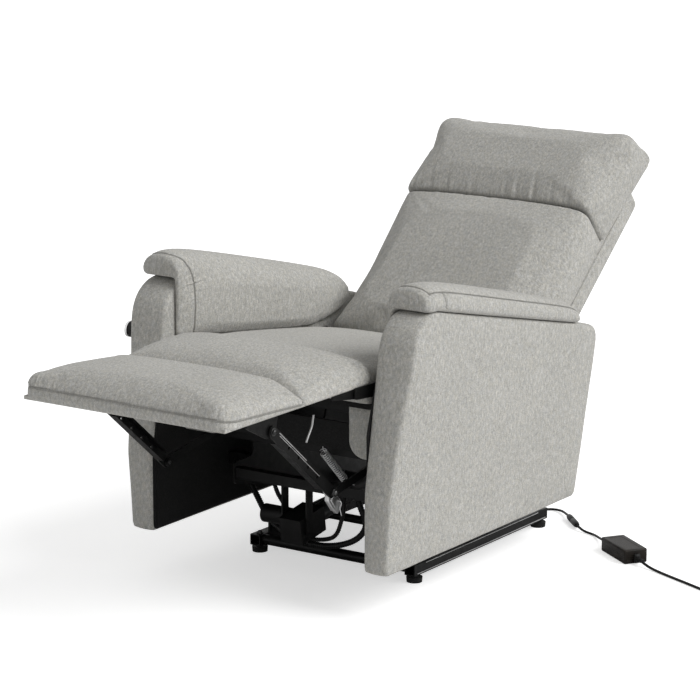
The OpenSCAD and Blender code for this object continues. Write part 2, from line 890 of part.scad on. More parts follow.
module legrest_board() {
    color(ply)
        translate([-pad_in + 6, toe_y + 6, board_z])
            cube([2 * (pad_in - 6), legrest_hinge[0] + 8 - toe_y - 6, board_t]);
}

module legrest_cushion(y, l) {
    color(fabric)
        translate([0, y, board_z + board_t])
            cushion(2 * pad_in, l, legrest_t, legrest_crown, 20, 26);
}

module legrest_toe_cushion() { legrest_cushion(toe_y, toe_l); }

module legrest_calf_cushion() {
    legrest_cushion(toe_seam_y + seam_gap, calf_end_y - toe_seam_y - seam_gap);
}

// ---------- Back ----------

shell_top = 640;

module back_hinge_arms() {
    color(black_steel)
        mirrored_pair()
            in_back_frame()
                side_sheet(hinge_arm_x, link_t)
                    difference() {
                        polygon(round_outline([
                            [-12, -12, 10],
                            [30, -back_t - 40, 10],
                            [190, -back_t - 40, 6],
                            [190, -back_t - 8, 6],
                            [90, -back_t - 8, 30],
                            [12, 0, 8],
                            [6, 12, 8],
                            [-12, 12, 10]], 6));
                        circle(pin_r + pin_play, $fn = 48);
                    }
}

module back_frame() {
    half = shell_half_w - shell_wall - 1;
    z0 = -back_t - shell_d + shell_wall + 1;
    h = shell_d - shell_wall - 2;
    color(ply)
        in_back_frame() {
            mirrored_pair() translate([half - 32, 20, z0]) cube([32, shell_top - 40, h]);
            for (y = [20, 300, shell_top - 70])
                translate([-half + 32, y, z0]) cube([2 * half - 64, 50, h]);
        }
}

// Fabric-covered outer back: a shallow tray, open to the front
module back_shell() {
    color(fabric)
        in_back_frame()
            difference() {
                translate([-shell_half_w, 4, -back_t - shell_d])
                    cube([2 * shell_half_w, shell_top - 4, shell_d - soft_gap]);
                translate([-shell_half_w + shell_wall, 4 + shell_wall, -back_t - shell_d + shell_wall])
                    cube([2 * (shell_half_w - shell_wall), shell_top - 4 - 2 * shell_wall, shell_d]);
            }
}

module back_cushion() {
    color(fabric)
        in_back_frame()
            translate([0, 5, -back_t])
                cushion(2 * back_half_w, lumbar_h - 5, back_t, back_crown, 30, 26);
}

module headrest_cushion() {
    color(fabric)
        in_back_frame()
            translate([0, lumbar_h + seam_gap, -back_t])
                cushion(
                    2 * back_half_w, headrest_h, back_t, back_crown + 4, 34, 22, headrest_flare,
                    headrest_roll);
}

// ---------- Actuator ----------

module along_actuator(from) {
    translate([actuator_x, actuator_a[0], actuator_a[1]])
        rotate([actuator_angle - 90, 0, 0])
            translate([0, 0, from]) children();
}

// Motor hanging under the gear housing at the front end
module actuator_motor() {
    color(black_plastic) {
        along_actuator(-26)
            translate([-motor_r, -motor_r, 0]) cube([2 * motor_r, 2 * motor_r, tube_from + 26]);
        along_actuator(tube_from - 28)
            translate([-motor_r, 0, 0])
                rotate([0, -90, 0])
                    cylinder(motor_l - 30, 22, 22, $fn = 48);
    }
}

module actuator_tube() {
    color(dark_steel)
        along_actuator(tube_from)
            difference() {
                cylinder(tube_to - tube_from, actuator_d / 2, actuator_d / 2, $fn = 64);
                translate([0, 0, 12])
                    cylinder(tube_to - tube_from, rod_d / 2 + pin_play, rod_d / 2 + pin_play, $fn = 48);
            }
}

// Rod with a flat eye end and its pin
module actuator_rod() {
    color(zinc) {
        along_actuator(tube_to - 330)
            cylinder(actuator_len - 30 - tube_to + 330, rod_d / 2, rod_d / 2, $fn = 48);
        along_actuator(actuator_len - 32)
            translate([-clevis_w / 2, -11, 0]) cube([clevis_w, 22, 44]);
        across(actuator_b, actuator_x - clevis_w / 2 - lever_t - 2, clevis_w + 2 * lever_t + 4, pin_r);
    }
}

// ---------- Control and wiring ----------

control_x = -arm_outer(control_z + control_d / 2) - 1.8;

module on_control() {
    translate([control_x, control_y, control_z])
        rotate([0, -90, 0]) children();
}

module control_housing() {
    depth = 8;
    color(black_plastic)
        on_control()
            difference() {
                cylinder(control_out, control_d / 2 - 2, control_d / 2 - 2, $fn = 64);
                translate([0, 0, control_out - depth])
                    cylinder(depth + 1, control_d / 2 - 6, control_d / 2 - 6, $fn = 64);
            }
}

module control_ring() {
    color([0.85, 0.85, 0.86])
        on_control()
            translate([0, 0, control_out - 7])
                difference() {
                    cylinder(6, control_d / 2, control_d / 2, $fn = 64);
                    translate([0, 0, -1])
                        cylinder(8, control_d / 2 - 2, control_d / 2 - 2, $fn = 64);
                }
}

// Half-round push button
module button(side) {
    r = control_d / 2 - 6.4;
    color(black_plastic)
        on_control()
            translate([0, 0, control_out - 8 + button_travel + 0.2])
                intersection() {
                    cylinder(8 - button_travel, r, r, $fn = 64);
                    translate([side > 0 ? 0.4 : -r - 0.4, -r - 1, -1])
                        cube([r, 2 * r + 2, 12]);
                }
}

module button_up() { button(1); }

module button_down() { button(-1); }

// Two bowed looms at the front, from the right arm to the actuator's motor
loom_d = 15;
loom_a = [
    [-arm_in + lining_t + 0.2, -88, 196], [-arm_in + 12, -88, 196], [-arm_in + 32, -88, 184],
    [-arm_in + 66, -92, 140], [-arm_in + 121, -112, 92], [-80, -140, 68], [10, -146, 64],
    [80, -136, 84], [108, -124, 120], [96, -128, 168], [90, -136, 200], [90, -136, 209.5]];
loom_b = [
    [-150, -128, 209.5], [-150, -126, 190], [-138, -122, 158], [-116, -122, 132],
    [-84, -126, 112], [-40, -150, 78], [40, -158, 92], [62, -152, 140], [60, -138, 190],
    [60, -136, 209.5]];

module wiring_loom() {
    color(black_plastic) {
        tube_along(led(loom_a, 3), loom_d, 8);
        tube_along(led(loom_b, 3), loom_d * 0.7, 8);
    }
}

// ---------- Power supply ----------

clip_at = [150, rail_rear_y - 14 + cross_d / 2, cross_z];
dc_start = [clip_at[0], clip_at[1] + 14, clip_at[2]];
adapter_turn = -34.6;
adapter_mid = [517, 357, 0];
adapter_dir = [cos(adapter_turn), sin(adapter_turn), 0];
adapter_side = [-sin(adapter_turn), cos(adapter_turn), 0];
dc_socket = adapter_mid - adapter_dir * (adapter_l / 2) - adapter_side * 12 + [0, 0, 17];
mains_socket = adapter_mid + adapter_dir * (adapter_l / 2 + 12) + [0, 0, 14];
connector_a = [250, 555, 10];
connector_b = [316, 488, 10];
connector_dir = unit(connector_b - connector_a);

dc_route = concat(
    [dc_start, dc_start + [0, dc_d, 0]],
    [[152, 540, 20], [160, 578, 6], [178, 600, 4], [208, 594, 6]],
    [connector_a - connector_dir * dc_d, connector_a]);
adapter_route = concat(
    [connector_b, connector_b + connector_dir * dc_d],
    [[342, 474, 5], [376, 462, 4], [410, 432, 8]],
    [dc_socket - adapter_dir * dc_d, dc_socket]);

coil_inner_r = 28;
coil_pitch = mains_d + 1.4;
coil_layer_turns = 2.5;
coil_outer_r = coil_inner_r + coil_pitch * coil_layer_turns;
coil_turns = 2 * coil_layer_turns + 0.5;
coil_start_a = 245;
coil_start = [842, 196, mains_d / 2];
coil_mid = coil_start - coil_outer_r * [cos(coil_start_a), sin(coil_start_a), 0];
coil_in_dir = [-sin(coil_start_a), cos(coil_start_a), 0];

mains_route = concat(
    [mains_socket, mains_socket + adapter_dir * mains_d],
    [[618, 296, 6], [660, 278, 3.4], [737, 244, 3.4], [800, 216, 3.4]],
    [coil_start - coil_in_dir * mains_d, coil_start]);

// Radius and height of the coil's middle line after t turns: in, up a layer, and out again
function coil_r(t) =
    coil_inner_r + coil_pitch * max(0, coil_layer_turns - t, t - coil_layer_turns - 0.5);
function coil_z(t) =
    mains_d / 2 + coil_pitch * max(0, min(1, (t - coil_layer_turns) / 0.5));
function coil_at(t) =
    let(a = coil_start_a + 360 * t)
    [coil_mid[0] + coil_r(t) * cos(a), coil_mid[1] + coil_r(t) * sin(a), coil_z(t)];
coil_steps = 24 * coil_turns;
coil_path = [for (i = [0 : coil_steps]) coil_at(i / 24)];
coil_end = coil_path[coil_steps];
coil_end_dir = unit(coil_end - coil_path[coil_steps - 1]);
coil_lead_out = 30;
plug_start = coil_end + coil_end_dir * coil_lead_out;
coil_route = concat([coil_start - coil_in_dir * eps], [for (i = [1 : coil_steps]) coil_path[i]],
    [plug_start]);
coil_gap = min([for (i = [0 : coil_steps - 12], j = [i + 12 : coil_steps])
    norm(coil_path[i] - coil_path[j])]) - mains_d;
echo(str("Least gap between the coil's own turns: ", coil_gap, " mm"));

module cord_clip() {
    color(black_plastic)
        translate(clip_at)
            rotate([-90, 0, 0])
                translate([0, 0, 0.1]) cylinder(13.9, 8, 5.5, $fn = 32);
}

module dc_lead() { color(black_plastic) tube_along(led(dc_route, 4), dc_d, 8); }

module adapter_lead() { color(black_plastic) tube_along(led(adapter_route, 4), dc_d, 8); }

module along(p, q) {
    d = q - p;
    translate(p)
        rotate([0, 0, atan2(d[1], d[0])])
            rotate([0, 90, 0]) children();
}

module inline_connector() {
    l = norm(connector_b - connector_a);
    color(black_plastic)
        along(connector_a, connector_b) {
            cylinder(16, 5, 9, $fn = 32);
            translate([0, 0, 16]) cylinder(l - 32, 9.5, 9.5, $fn = 32);
            translate([0, 0, l - 16]) cylinder(16, 9, 5, $fn = 32);
        }
}

module power_adapter() {
    color(black_plastic)
        translate(adapter_mid)
            rotate([0, 0, adapter_turn]) {
                translate([-adapter_l / 2, -adapter_w / 2, 0]) cube([adapter_l, adapter_w, adapter_h]);
                translate([adapter_l / 2 - eps, 0, 14])
                    rotate([0, 90, 0]) cylinder(12 + eps, 8, 5.5, $fn = 32);
            }
}

module mains_lead() { color(black_plastic) tube_along(led(mains_route, 4), mains_d, 8); }

module mains_coil() { color(black_plastic) tube_along(coil_route, mains_d, 6); }

// Two-pin plug in line with the end of the cord, lying on the floor
module mains_plug() {
    flat_dir = [coil_end_dir[0], coil_end_dir[1], 0];
    half_h = plug_start[2];
    along(plug_start, plug_start + flat_dir) {
        color(black_plastic) {
            cylinder(12, 5, 8, $fn = 32);
            translate([-half_h, -13, 12]) cube([2 * half_h, 26, 30]);
        }
        color(zinc)
            for (y = [-6.5, 6.5]) translate([-3.2, y - 0.8, 42]) cube([6.4, 1.6, 16]);
    }
}

base_rail_right();
base_rail_left();
base_cross_front();
base_cross_rear();
base_feet();
base_pivot_pins();
rear_lift_links();
front_lift_links();
chassis_plate_right();
chassis_plate_left();
chassis_cross_tube();
lift_pivot_pins();
actuator_motor();
actuator_tube();
actuator_rod();
arm_brackets();
seat_rails();
seat_deck();
seat_cushion();
side_plate_right();
side_plate_left();
front_apron();
front_panel();
rear_rail();
arm_panel_right();
arm_panel_left();
arm_lining_right();
arm_lining_left();
arm_pad_right();
arm_pad_left();
legrest_pivot_brackets();
drive_link_right();
drive_link_left();
drive_tube();
thrust_link_right();
thrust_link_left();
legrest_brackets();
legrest_board();
legrest_toe_cushion();
legrest_calf_cushion();
back_hinge_arms();
back_frame();
back_shell();
back_cushion();
headrest_cushion();
wiring_loom();
control_housing();
control_ring();
button_up();
button_down();
cord_clip();
dc_lead();
inline_connector();
adapter_lead();
power_adapter();
mains_lead();
mains_coil();
mains_plug();
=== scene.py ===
import math

import bmesh
import bpy
import numpy as np
from mathutils import Matrix, Vector, noise
from mathutils.bvhtree import BVHTree


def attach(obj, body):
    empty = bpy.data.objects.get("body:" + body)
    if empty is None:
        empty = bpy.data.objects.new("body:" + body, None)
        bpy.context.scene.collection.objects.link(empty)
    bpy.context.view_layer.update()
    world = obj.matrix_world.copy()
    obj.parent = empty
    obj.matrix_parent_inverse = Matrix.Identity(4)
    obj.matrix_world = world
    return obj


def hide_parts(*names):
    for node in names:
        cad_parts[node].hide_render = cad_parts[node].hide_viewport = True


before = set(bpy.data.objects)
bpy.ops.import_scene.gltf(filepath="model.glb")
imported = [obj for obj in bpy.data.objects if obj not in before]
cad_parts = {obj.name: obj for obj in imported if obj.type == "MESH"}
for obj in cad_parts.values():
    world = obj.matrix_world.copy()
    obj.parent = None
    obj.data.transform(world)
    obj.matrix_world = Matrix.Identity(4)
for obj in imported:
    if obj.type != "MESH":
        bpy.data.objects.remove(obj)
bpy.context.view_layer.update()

MM = 0.001
SIDES = {"left": 1, "right": -1}
QUARTER = math.radians(90)
SEAT_SLOPE, BACK_LEAN = math.radians(8), math.radians(40)
SEAT = Matrix.Translation((0, -0.270, 0.555)) @ Matrix.Rotation(-SEAT_SLOPE, 4, "X")
BACK = Matrix.Translation((0, 0.262, 0.462)) @ Matrix.Rotation(BACK_LEAN, 4, "X")
ARM_IN, PAD_IN = 0.291, 0.272


def add_object(name, data):
    made = bpy.data.objects.new(name, data)
    bpy.context.collection.objects.link(made)
    return made


def put(target, **values):
    for key, value in values.items():
        setattr(target, key, value)


# ---------- Camera ----------

def make_camera():
    azimuth, elevation, distance = math.radians(34.281), math.radians(12.797), 7.0
    aim = Vector((-0.01952, 0, 0.49609))
    focal_px, image_px, sensor = 3018.84, 700, 36
    back = Vector((math.sin(azimuth) * math.cos(elevation),
                   -math.cos(azimuth) * math.cos(elevation), math.sin(elevation)))
    data = bpy.data.cameras.new("camera")
    put(data, sensor_width=sensor, lens=focal_px / image_px * sensor, clip_end=60)
    camera = add_object("camera", data)
    camera.location = aim + back * distance
    camera.rotation_mode = "QUATERNION"
    camera.rotation_quaternion = (-back).to_track_quat("-Z", "Y")
    bpy.context.scene.camera = camera


make_camera()


# ---------- Finishes ----------

class Finish:
    """A material under construction, with short calls for its nodes."""

    def __init__(self, name):
        self.material = bpy.data.materials.new(name)
        self.material.use_nodes = True
        self.tree = self.material.node_tree
        self.shader = self.tree.nodes["Principled BSDF"]

    def set(self, **values):
        for socket, value in values.items():
            self.shader.inputs[socket.replace("_", " ")].default_value = value
        return self

    def node(self, kind, **values):
        made = self.tree.nodes.new(kind)
        for key, value in values.items():
            if key in made.bl_rna.properties:
                setattr(made, key, value)
            else:
                made.inputs[key.replace("_", " ")].default_value = value
        return made

    def link(self, source, target):
        self.tree.links.new(source, target)

    def place(self, turn=(0, 0, 0), stretch=(1, 1, 1)):
        """Object coordinates, turned and stretched."""
        where = self.node("ShaderNodeTexCoord")
        mapping = self.node("ShaderNodeMapping", Rotation=turn, Scale=stretch)
        self.link(where.outputs["Object"], mapping.inputs["Vector"])
        return mapping.outputs["Vector"]

    def noise(self, vector, scale, detail=2.0, roughness=0.5):
        made = self.node("ShaderNodeTexNoise", Scale=scale, Detail=detail, Roughness=roughness)
        self.link(vector, made.inputs["Vector"])
        return made.outputs["Fac"]

    def ramp(self, value, stops):
        """Colour ramp: stops are (position, grey or colour)."""
        made = self.node("ShaderNodeValToRGB")
        elements = made.color_ramp.elements
        while len(elements) < len(stops):
            elements.new(0.5)
        for element, (position, colour) in zip(elements, stops):
            if isinstance(colour, (int, float)):
                colour = (colour, colour, colour)
            element.position, element.color = position, (*colour, 1)
        self.link(value, made.inputs["Fac"])
        return made.outputs["Color"]

    def blend(self, kind, factor, a, b):
        """Colour mix; each of factor, a and b is a socket or a value."""
        made = self.node("ShaderNodeMix", data_type="RGBA", blend_type=kind)
        for socket, value in ((0, factor), (6, a), (7, b)):
            if isinstance(value, bpy.types.NodeSocket):
                self.link(value, made.inputs[socket])
            else:
                made.inputs[socket].default_value = value if socket == 0 else (*value, 1)
        return made.outputs[2]

    def bump(self, height, strength, distance, under=None):
        made = self.node("ShaderNodeBump", Strength=strength, Distance=distance)
        self.link(height, made.inputs["Height"])
        if under is not None:
            self.link(under, made.inputs["Normal"])
        return made.outputs["Normal"]

    def wire(self, **sockets):
        for socket, source in sockets.items():
            self.link(source, self.shader.inputs[socket.replace("_", " ")])
        return self


def heather_cloth(name, turn):
    """Light grey woven cloth. turn brings the pattern's Z along the warp and its X out of the surface."""
    f = Finish(name)
    upright = f.place(turn)
    warp = f.place(turn, (1, 1, 0.45))
    weft = f.place(turn, (1, 0.45, 1))
    blotch = f.noise(warp, 190, 3.0, 0.6)
    fleck = f.noise(weft, 520, 2.0, 0.6)
    cloud = f.noise(upright, 6, 2.0)
    colour = f.ramp(blotch, [(0.28, (0.352, 0.347, 0.327)), (0.46, (0.430, 0.424, 0.397)),
                             (0.56, (0.482, 0.474, 0.446)), (0.76, (0.582, 0.574, 0.544))])
    colour = f.blend("MULTIPLY", 0.75, colour, f.ramp(fleck, [(0.32, 0.66), (0.5, 1.0), (0.68, 1.24)]))
    tint = f.noise(upright, 120, 2.0, 0.6)
    colour = f.blend("MULTIPLY", 0.7, colour, f.ramp(tint, [(0.35, (0.97, 0.985, 1.02)),
                                                            (0.65, (1.03, 1.01, 0.965))]))
    colour = f.blend("MULTIPLY", 0.5, colour, f.ramp(cloud, [(0.3, 0.94), (0.7, 1.05)]))
    # Painted shade: the seam attribute mixes the cloth towards dark grey (0.15, 0.147, 0.137) in the seam
    # valleys.
    seam = f.node("ShaderNodeAttribute", attribute_name="seam").outputs["Fac"]
    colour = f.blend("MIX", seam, colour, (0.15, 0.147, 0.137))
    yarn = f.node("ShaderNodeMath", operation="ADD")
    for k, stretch in enumerate(((1, 1, 0.14), (1, 0.14, 1))):
        f.link(f.noise(f.place(turn, stretch), 900, 1.0), yarn.inputs[k])
    relief = f.bump(yarn.outputs[0], 0.5, 0.0010, f.bump(blotch, 0.2, 0.0015))
    f.wire(Base_Color=colour, Normal=relief)
    return f.set(Roughness=0.92, Specular_IOR_Level=0.25, Sheen_Weight=0.12, Sheen_Roughness=0.5).material


def powder_coat():
    f = Finish("powder_coat")
    where = f.place()
    colour = f.ramp(f.noise(where, 25, 4.0), [(0.3, 0.0022), (0.75, 0.0050)])
    rough = f.ramp(f.noise(where, 60, 3.0), [(0.3, 0.36), (0.7, 0.54)])
    f.wire(Base_Color=colour, Roughness=rough, Normal=f.bump(f.noise(where, 900, 1.0), 0.25, 0.0006))
    return f.set(Specular_IOR_Level=0.20).material


def metal(name, dark, light, rough, streak):
    f = Finish(name)
    along = f.place(stretch=(1, streak, 1))
    colour = f.ramp(f.noise(along, 60, 4.0, 0.6), [(0.3, dark), (0.7, light)])
    wear = f.ramp(f.noise(f.place(), 35, 3.0), [(0.3, rough), (0.7, rough + 0.16)])
    f.wire(Base_Color=colour, Roughness=wear, Normal=f.bump(f.noise(along, 400, 2.0), 0.12, 0.0005))
    return f.set(Metallic=1.0).material


def black_cloth():
    """Thin non-woven cloth with a fine dimple pattern."""
    f = Finish("black_cloth")
    where = f.place()
    dots = f.node("ShaderNodeTexVoronoi", Scale=420)
    f.link(where, dots.inputs["Vector"])
    colour = f.ramp(f.noise(where, 300, 3.0, 0.7), [(0.3, 0.006), (0.6, 0.013), (0.8, 0.028)])
    relief = f.bump(dots.outputs["Distance"], 0.4, 0.0006, f.bump(f.noise(where, 9, 2.0), 0.3, 0.01))
    f.wire(Base_Color=colour, Normal=relief)
    return f.set(Roughness=0.9, Specular_IOR_Level=0.2, Sheen_Weight=0.05).material


def plastic(name, low, high, rough, grain):
    f = Finish(name)
    where = f.place()
    colour = f.ramp(f.noise(where, 40, 3.0), [(0.3, low), (0.7, high)])
    f.wire(Base_Color=colour, Normal=f.bump(f.noise(where, 1100, 2.0), grain, 0.0005))
    return f.set(Roughness=rough, Specular_IOR_Level=0.20).material


def thread():
    f = Finish("sewing_thread")
    twist = f.node("ShaderNodeTexWave", Scale=260, wave_type="BANDS", bands_direction="DIAGONAL")
    f.link(f.place(), twist.inputs["Vector"])
    f.wire(Base_Color=f.ramp(twist.outputs["Fac"], [(0.2, (0.21, 0.205, 0.19)), (0.8, (0.33, 0.325, 0.30))]))
    return f.set(Roughness=0.8).material


CLOTH_SIDE = heather_cloth("cloth_side", (0, 0, 0))
CLOTH_SEAT = heather_cloth("cloth_seat", (QUARTER, 0, QUARTER))
CLOTH_BACK = heather_cloth("cloth_back", (-BACK_LEAN, 0, QUARTER))
COAT = powder_coat()
DARK_STEEL = metal("dark_steel", 0.05, 0.11, 0.34, 0.2)
ZINC = metal("zinc_plate", 0.58, 0.78, 0.30, 0.3)
# Bright steel for the return spring, also used as a painted highlight on thin strips along rail and link
# edges.
BRIGHT_STEEL_AND_PAINTED_HIGHLIGHT = metal("bright_steel_and_painted_highlight", 0.42, 0.70, 0.38, 0.2)
WIRE = metal("dull_wire", 0.34, 0.52, 0.42, 0.3)
CHROME = metal("chrome", 0.70, 0.80, 0.07, 1.0)
LINING = black_cloth()
PLASTIC = plastic("black_plastic", 0.0035, 0.0075, 0.42, 0.25)
RUBBER = plastic("black_rubber", 0.008, 0.014, 0.72, 0.4)
CASE = plastic("adapter_case", (0.0050, 0.0038, 0.0028), (0.013, 0.0095, 0.0065), 0.45, 0.35)
JACKET = plastic("cable_jacket", 0.008, 0.013, 0.46, 0.12)
THREAD = thread()


# ---------- Cords ----------

def curve_through(points, steps):
    """A smooth curve through the points."""
    p = [Vector(q) for q in points]
    last = len(p) - 1
    out = []
    for i in range(last):
        a, b, c, d = p[max(i - 1, 0)], p[i], p[i + 1], p[min(i + 2, last)]
        for s in range(steps):
            t = s / steps
            out.append(0.5 * (2 * b + (c - a) * t + (2 * a - 5 * b + 4 * c - d) * t * t
                              + (3 * b - a - 3 * c + d) * t ** 3))
    return out + [p[last]]


def led(points, steps):
    """A cord's route in metres: straight where it starts and ends, smooth between."""
    route = [Vector(points[0])] + curve_through(points[1:-1], steps) + [Vector(points[-1])]
    return [p * MM for p in route]


def cord_curve(name, path, diameter):
    curve = bpy.data.curves.new(name, "CURVE")
    put(curve, dimensions="3D", bevel_depth=diameter / 2, bevel_resolution=5, use_fill_caps=True)
    spline = curve.splines.new("POLY")
    spline.points.add(len(path) - 1)
    for point, co in zip(spline.points, path):
        point.co = (*co, 1)
    curve.materials.append(JACKET)
    return add_object(name, curve)


def length_of(path):
    return sum((b - a).length for a, b in zip(path, path[1:]))


DC_D, MAINS_D, COIL_OUT = 6.0, 6.6, 30
TURN = math.radians(-34.6)
ADAPTER_DIR = Vector((math.cos(TURN), math.sin(TURN), 0))
ADAPTER_SIDE = Vector((-math.sin(TURN), math.cos(TURN), 0))
ADAPTER_MID = Vector((517, 357, 0))
ADAPTER_SIZE, INLET_OUT = (125, 59, 34), 12
DC_START = Vector((150, 496.5, 31))
DC_SOCKET = ADAPTER_MID - ADAPTER_DIR * (ADAPTER_SIZE[0] / 2) - ADAPTER_SIDE * 12 + Vector((0, 0, 17))
MAINS_SOCKET = ADAPTER_MID + ADAPTER_DIR * (ADAPTER_SIZE[0] / 2 + INLET_OUT) + Vector((0, 0, 14))
CONNECTOR_A, CONNECTOR_B = Vector((250, 555, 10)), Vector((316, 488, 10))
CONNECTOR_DIR = (CONNECTOR_B - CONNECTOR_A).normalized()


def coil_points(start):
    """The coil's middle line: in towards the middle, up a layer, and out again."""
    inner, pitch, layer, turns, angle, per_turn = 28, MAINS_D + 1.4, 2.5, 5.5, math.radians(245), 24
    outer = inner + pitch * layer
    middle = start - outer * Vector((math.cos(angle), math.sin(angle), 0))
    out = []
    for i in range(1, int(per_turn * turns) + 1):
        t = i / per_turn
        r = inner + pitch * max(0, layer - t, t - layer - 0.5)
        z = MAINS_D / 2 + pitch * max(0, min(1, (t - layer) / 0.5))
        a = angle + 2 * math.pi * t
        out.append(Vector((middle.x + r * math.cos(a), middle.y + r * math.sin(a), z)))
    heading = (out[-1] - out[-2]).normalized()
    return Vector((-math.sin(angle), math.cos(angle), 0)), out + [out[-1] + heading * COIL_OUT]


def make_cords():
    dc = led([DC_START, DC_START + Vector((0, DC_D, 0)), (152, 540, 20), (160, 578, 6), (178, 600, 4),
              (208, 594, 6), CONNECTOR_A - CONNECTOR_DIR * DC_D, CONNECTOR_A], 5)
    adapter = led([CONNECTOR_B, CONNECTOR_B + CONNECTOR_DIR * DC_D, (342, 474, 5), (376, 462, 4),
                   (410, 432, 8), DC_SOCKET - ADAPTER_DIR * DC_D, DC_SOCKET], 6)
    coil_start = Vector((842, 196, MAINS_D / 2))
    coil_in, coil = coil_points(coil_start)
    mains = led([MAINS_SOCKET, MAINS_SOCKET + ADAPTER_DIR * MAINS_D, (618, 296, 6), (660, 278, 3.4),
                 (737, 244, 3.4), (800, 216, 3.4), coil_start - coil_in * MAINS_D, coil_start], 5)
    mains += [p * MM for p in coil]
    cords = {}
    for name, path, d, nodes in (("low_voltage_lead", dc, DC_D, ["dc_lead"]),
                                 ("adapter_cable", adapter, DC_D, ["adapter_lead"]),
                                 ("mains_cable", mains, MAINS_D, ["mains_lead", "mains_coil"])):
        piece = cord_curve(name, path, d * MM)
        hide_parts(*nodes)
        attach(piece, "base")
        cords[name] = (piece, path)
    return cords


CORDS = make_cords()


# ---------- Making meshes ----------

def mesh_piece(name, points, faces, material):
    mesh = bpy.data.meshes.new(name)
    mesh.from_pydata([tuple(p) for p in points], [], faces)
    mesh.materials.append(material)
    piece = add_object(name, mesh)
    tidy = bmesh.new()
    tidy.from_mesh(mesh)
    bmesh.ops.remove_doubles(tidy, verts=tidy.verts, dist=1e-6)
    bmesh.ops.recalc_face_normals(tidy, faces=tidy.faces)
    tidy.to_mesh(mesh)
    tidy.free()
    mesh.shade_smooth()
    return piece


def ring_shell(name, rings, material):
    """A skin over stacked rings, with its ends closed."""
    n, last = len(rings[0]), len(rings) - 1
    points = [p for ring in rings for p in ring]
    faces = [(here + i, here + (i + 1) % n, here + n + (i + 1) % n, here + n + i)
             for here in range(0, last * n, n) for i in range(n)]
    faces += [tuple(range(n))[::-1], tuple(range(last * n, last * n + n))]
    return mesh_piece(name, points, faces, material)


def select_only(piece):
    bpy.ops.object.select_all(action="DESELECT")
    piece.select_set(True)
    bpy.context.view_layer.objects.active = piece


def apply_modifier(piece, kind, **values):
    made = piece.modifiers.new(kind.title(), kind)
    put(made, **values)
    select_only(piece)
    bpy.ops.object.modifier_apply(modifier=made.name)


def table_of(rows, field, kind, width):
    """One field of all a mesh's points or edges, a row each."""
    out = np.empty(len(rows) * width, kind)
    rows.foreach_get(field, out)
    return out.reshape(-1, width)


def corners(piece):
    return table_of(piece.data.vertices, "co", np.float64, 3)


def normals(piece):
    return table_of(piece.data.vertex_normals, "vector", np.float64, 3)


def move_to(piece, co):
    piece.data.vertices.foreach_set("co", np.ascontiguousarray(co, np.float32).ravel())
    piece.data.update()


def neighbours(piece):
    return table_of(piece.data.edges, "vertices", np.int64, 2)


def averaged(values, edges, rounds):
    """Each point's value averaged with its neighbours', a few times over."""
    count = np.bincount(edges.ravel(), minlength=len(values))[:, None]
    for _ in range(rounds):
        total = np.zeros_like(values)
        np.add.at(total, edges[:, 0], values[edges[:, 1]])
        np.add.at(total, edges[:, 1], values[edges[:, 0]])
        values = 0.5 * values + 0.5 * total / np.maximum(count, 1)
    return values


def even_mesh(piece, size, rounds=6):
    apply_modifier(piece, "REMESH", mode="VOXEL", voxel_size=size)
    move_to(piece, averaged(corners(piece), neighbours(piece), rounds))


def inflate(piece, held, cap, pressure, frames):
    """Swell a closed cushion as stuffed cloth, by at most cap. held gives, for its points, how firmly each
    stays in place."""
    start = corners(piece)
    group = piece.vertex_groups.new(name="held")
    for i, w in enumerate(held(start)):
        group.add([i], float(w), "REPLACE")
    cloth = piece.modifiers.new("Cloth", "CLOTH")
    put(cloth.settings, quality=4, mass=0.3, tension_stiffness=12, compression_stiffness=12,
        bending_stiffness=0.6, use_pressure=True, uniform_pressure_force=pressure, vertex_group_mass="held")
    cloth.settings.effector_weights.gravity = 0
    put(cloth.collision_settings, use_collision=False, use_self_collision=False)
    cloth.point_cache.frame_end = frames
    scene = bpy.context.scene
    for step in range(1, frames + 1):
        scene.frame_set(step)
    result = piece.evaluated_get(bpy.context.evaluated_depsgraph_get())
    swollen = corners(result)
    piece.modifiers.remove(cloth)
    piece.vertex_groups.remove(group)
    scene.frame_set(1)
    change = averaged(swollen - start, neighbours(piece), 2)
    size = np.linalg.norm(change, axis=1, keepdims=True)
    move_to(piece, start + change * np.minimum(1, cap / np.maximum(size, 1e-9)))


def finer(piece):
    apply_modifier(piece, "SUBSURF", levels=1, render_levels=1)


# Painted shade: per point, how far the cloth is darkened in a seam valley, from 0 to 1.
def paint_seam_shade(piece, strength):
    attribute = piece.data.attributes.get("seam") or piece.data.attributes.new("seam", "FLOAT", "POINT")
    attribute.data.foreach_set("value", np.clip(strength, 0, 1).astype(np.float32))


def bell(distance, width):
    return np.exp(-(distance / width) ** 2)


def ease(value, low, high):
    t = np.clip((value - low) / (high - low), 0, 1)
    return t * t * (3 - 2 * t)


def puckers(along, seed, wave):
    """Uneven ridges along a seam, between -1 and 1."""
    p = 2 * np.pi * along / wave
    s = seed * 1.7
    ridges = np.sin(p + s) + 0.7 * np.sin(p * 1.73 + 2.1 * s) + 0.5 * np.sin(p * 2.61 + 3.7 * s)
    fade = 0.5 + 0.5 * np.sin(p * 0.31 + 1.3 * s) * np.sin(p * 0.173 + 0.7 * s)
    return ridges / 2.2 * fade


def lay_in_frame(piece, place):
    piece.data.transform(place)
    piece.data.update()


def fit_cushion(piece, node, body):
    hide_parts(node)
    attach(piece, body)


def rounded_ring(half_w, low, high, radii, z, steps=6):
    """Outline of a cushion at height z: a rectangle, with a corner radius for its low end and its high."""
    q, r = radii
    out = []
    for cx, cy, radius, a0 in ((half_w - r, high - r, r, 0), (-half_w + r, high - r, r, 90),
                               (-half_w + q, low + q, q, 180), (half_w - q, low + q, q, 270)):
        for k in range(steps + 1):
            a = math.radians(a0 + 90 * k / steps)
            out.append((cx + radius * math.cos(a), cy + radius * math.sin(a), z))
    return out


# ---------- Seams ----------

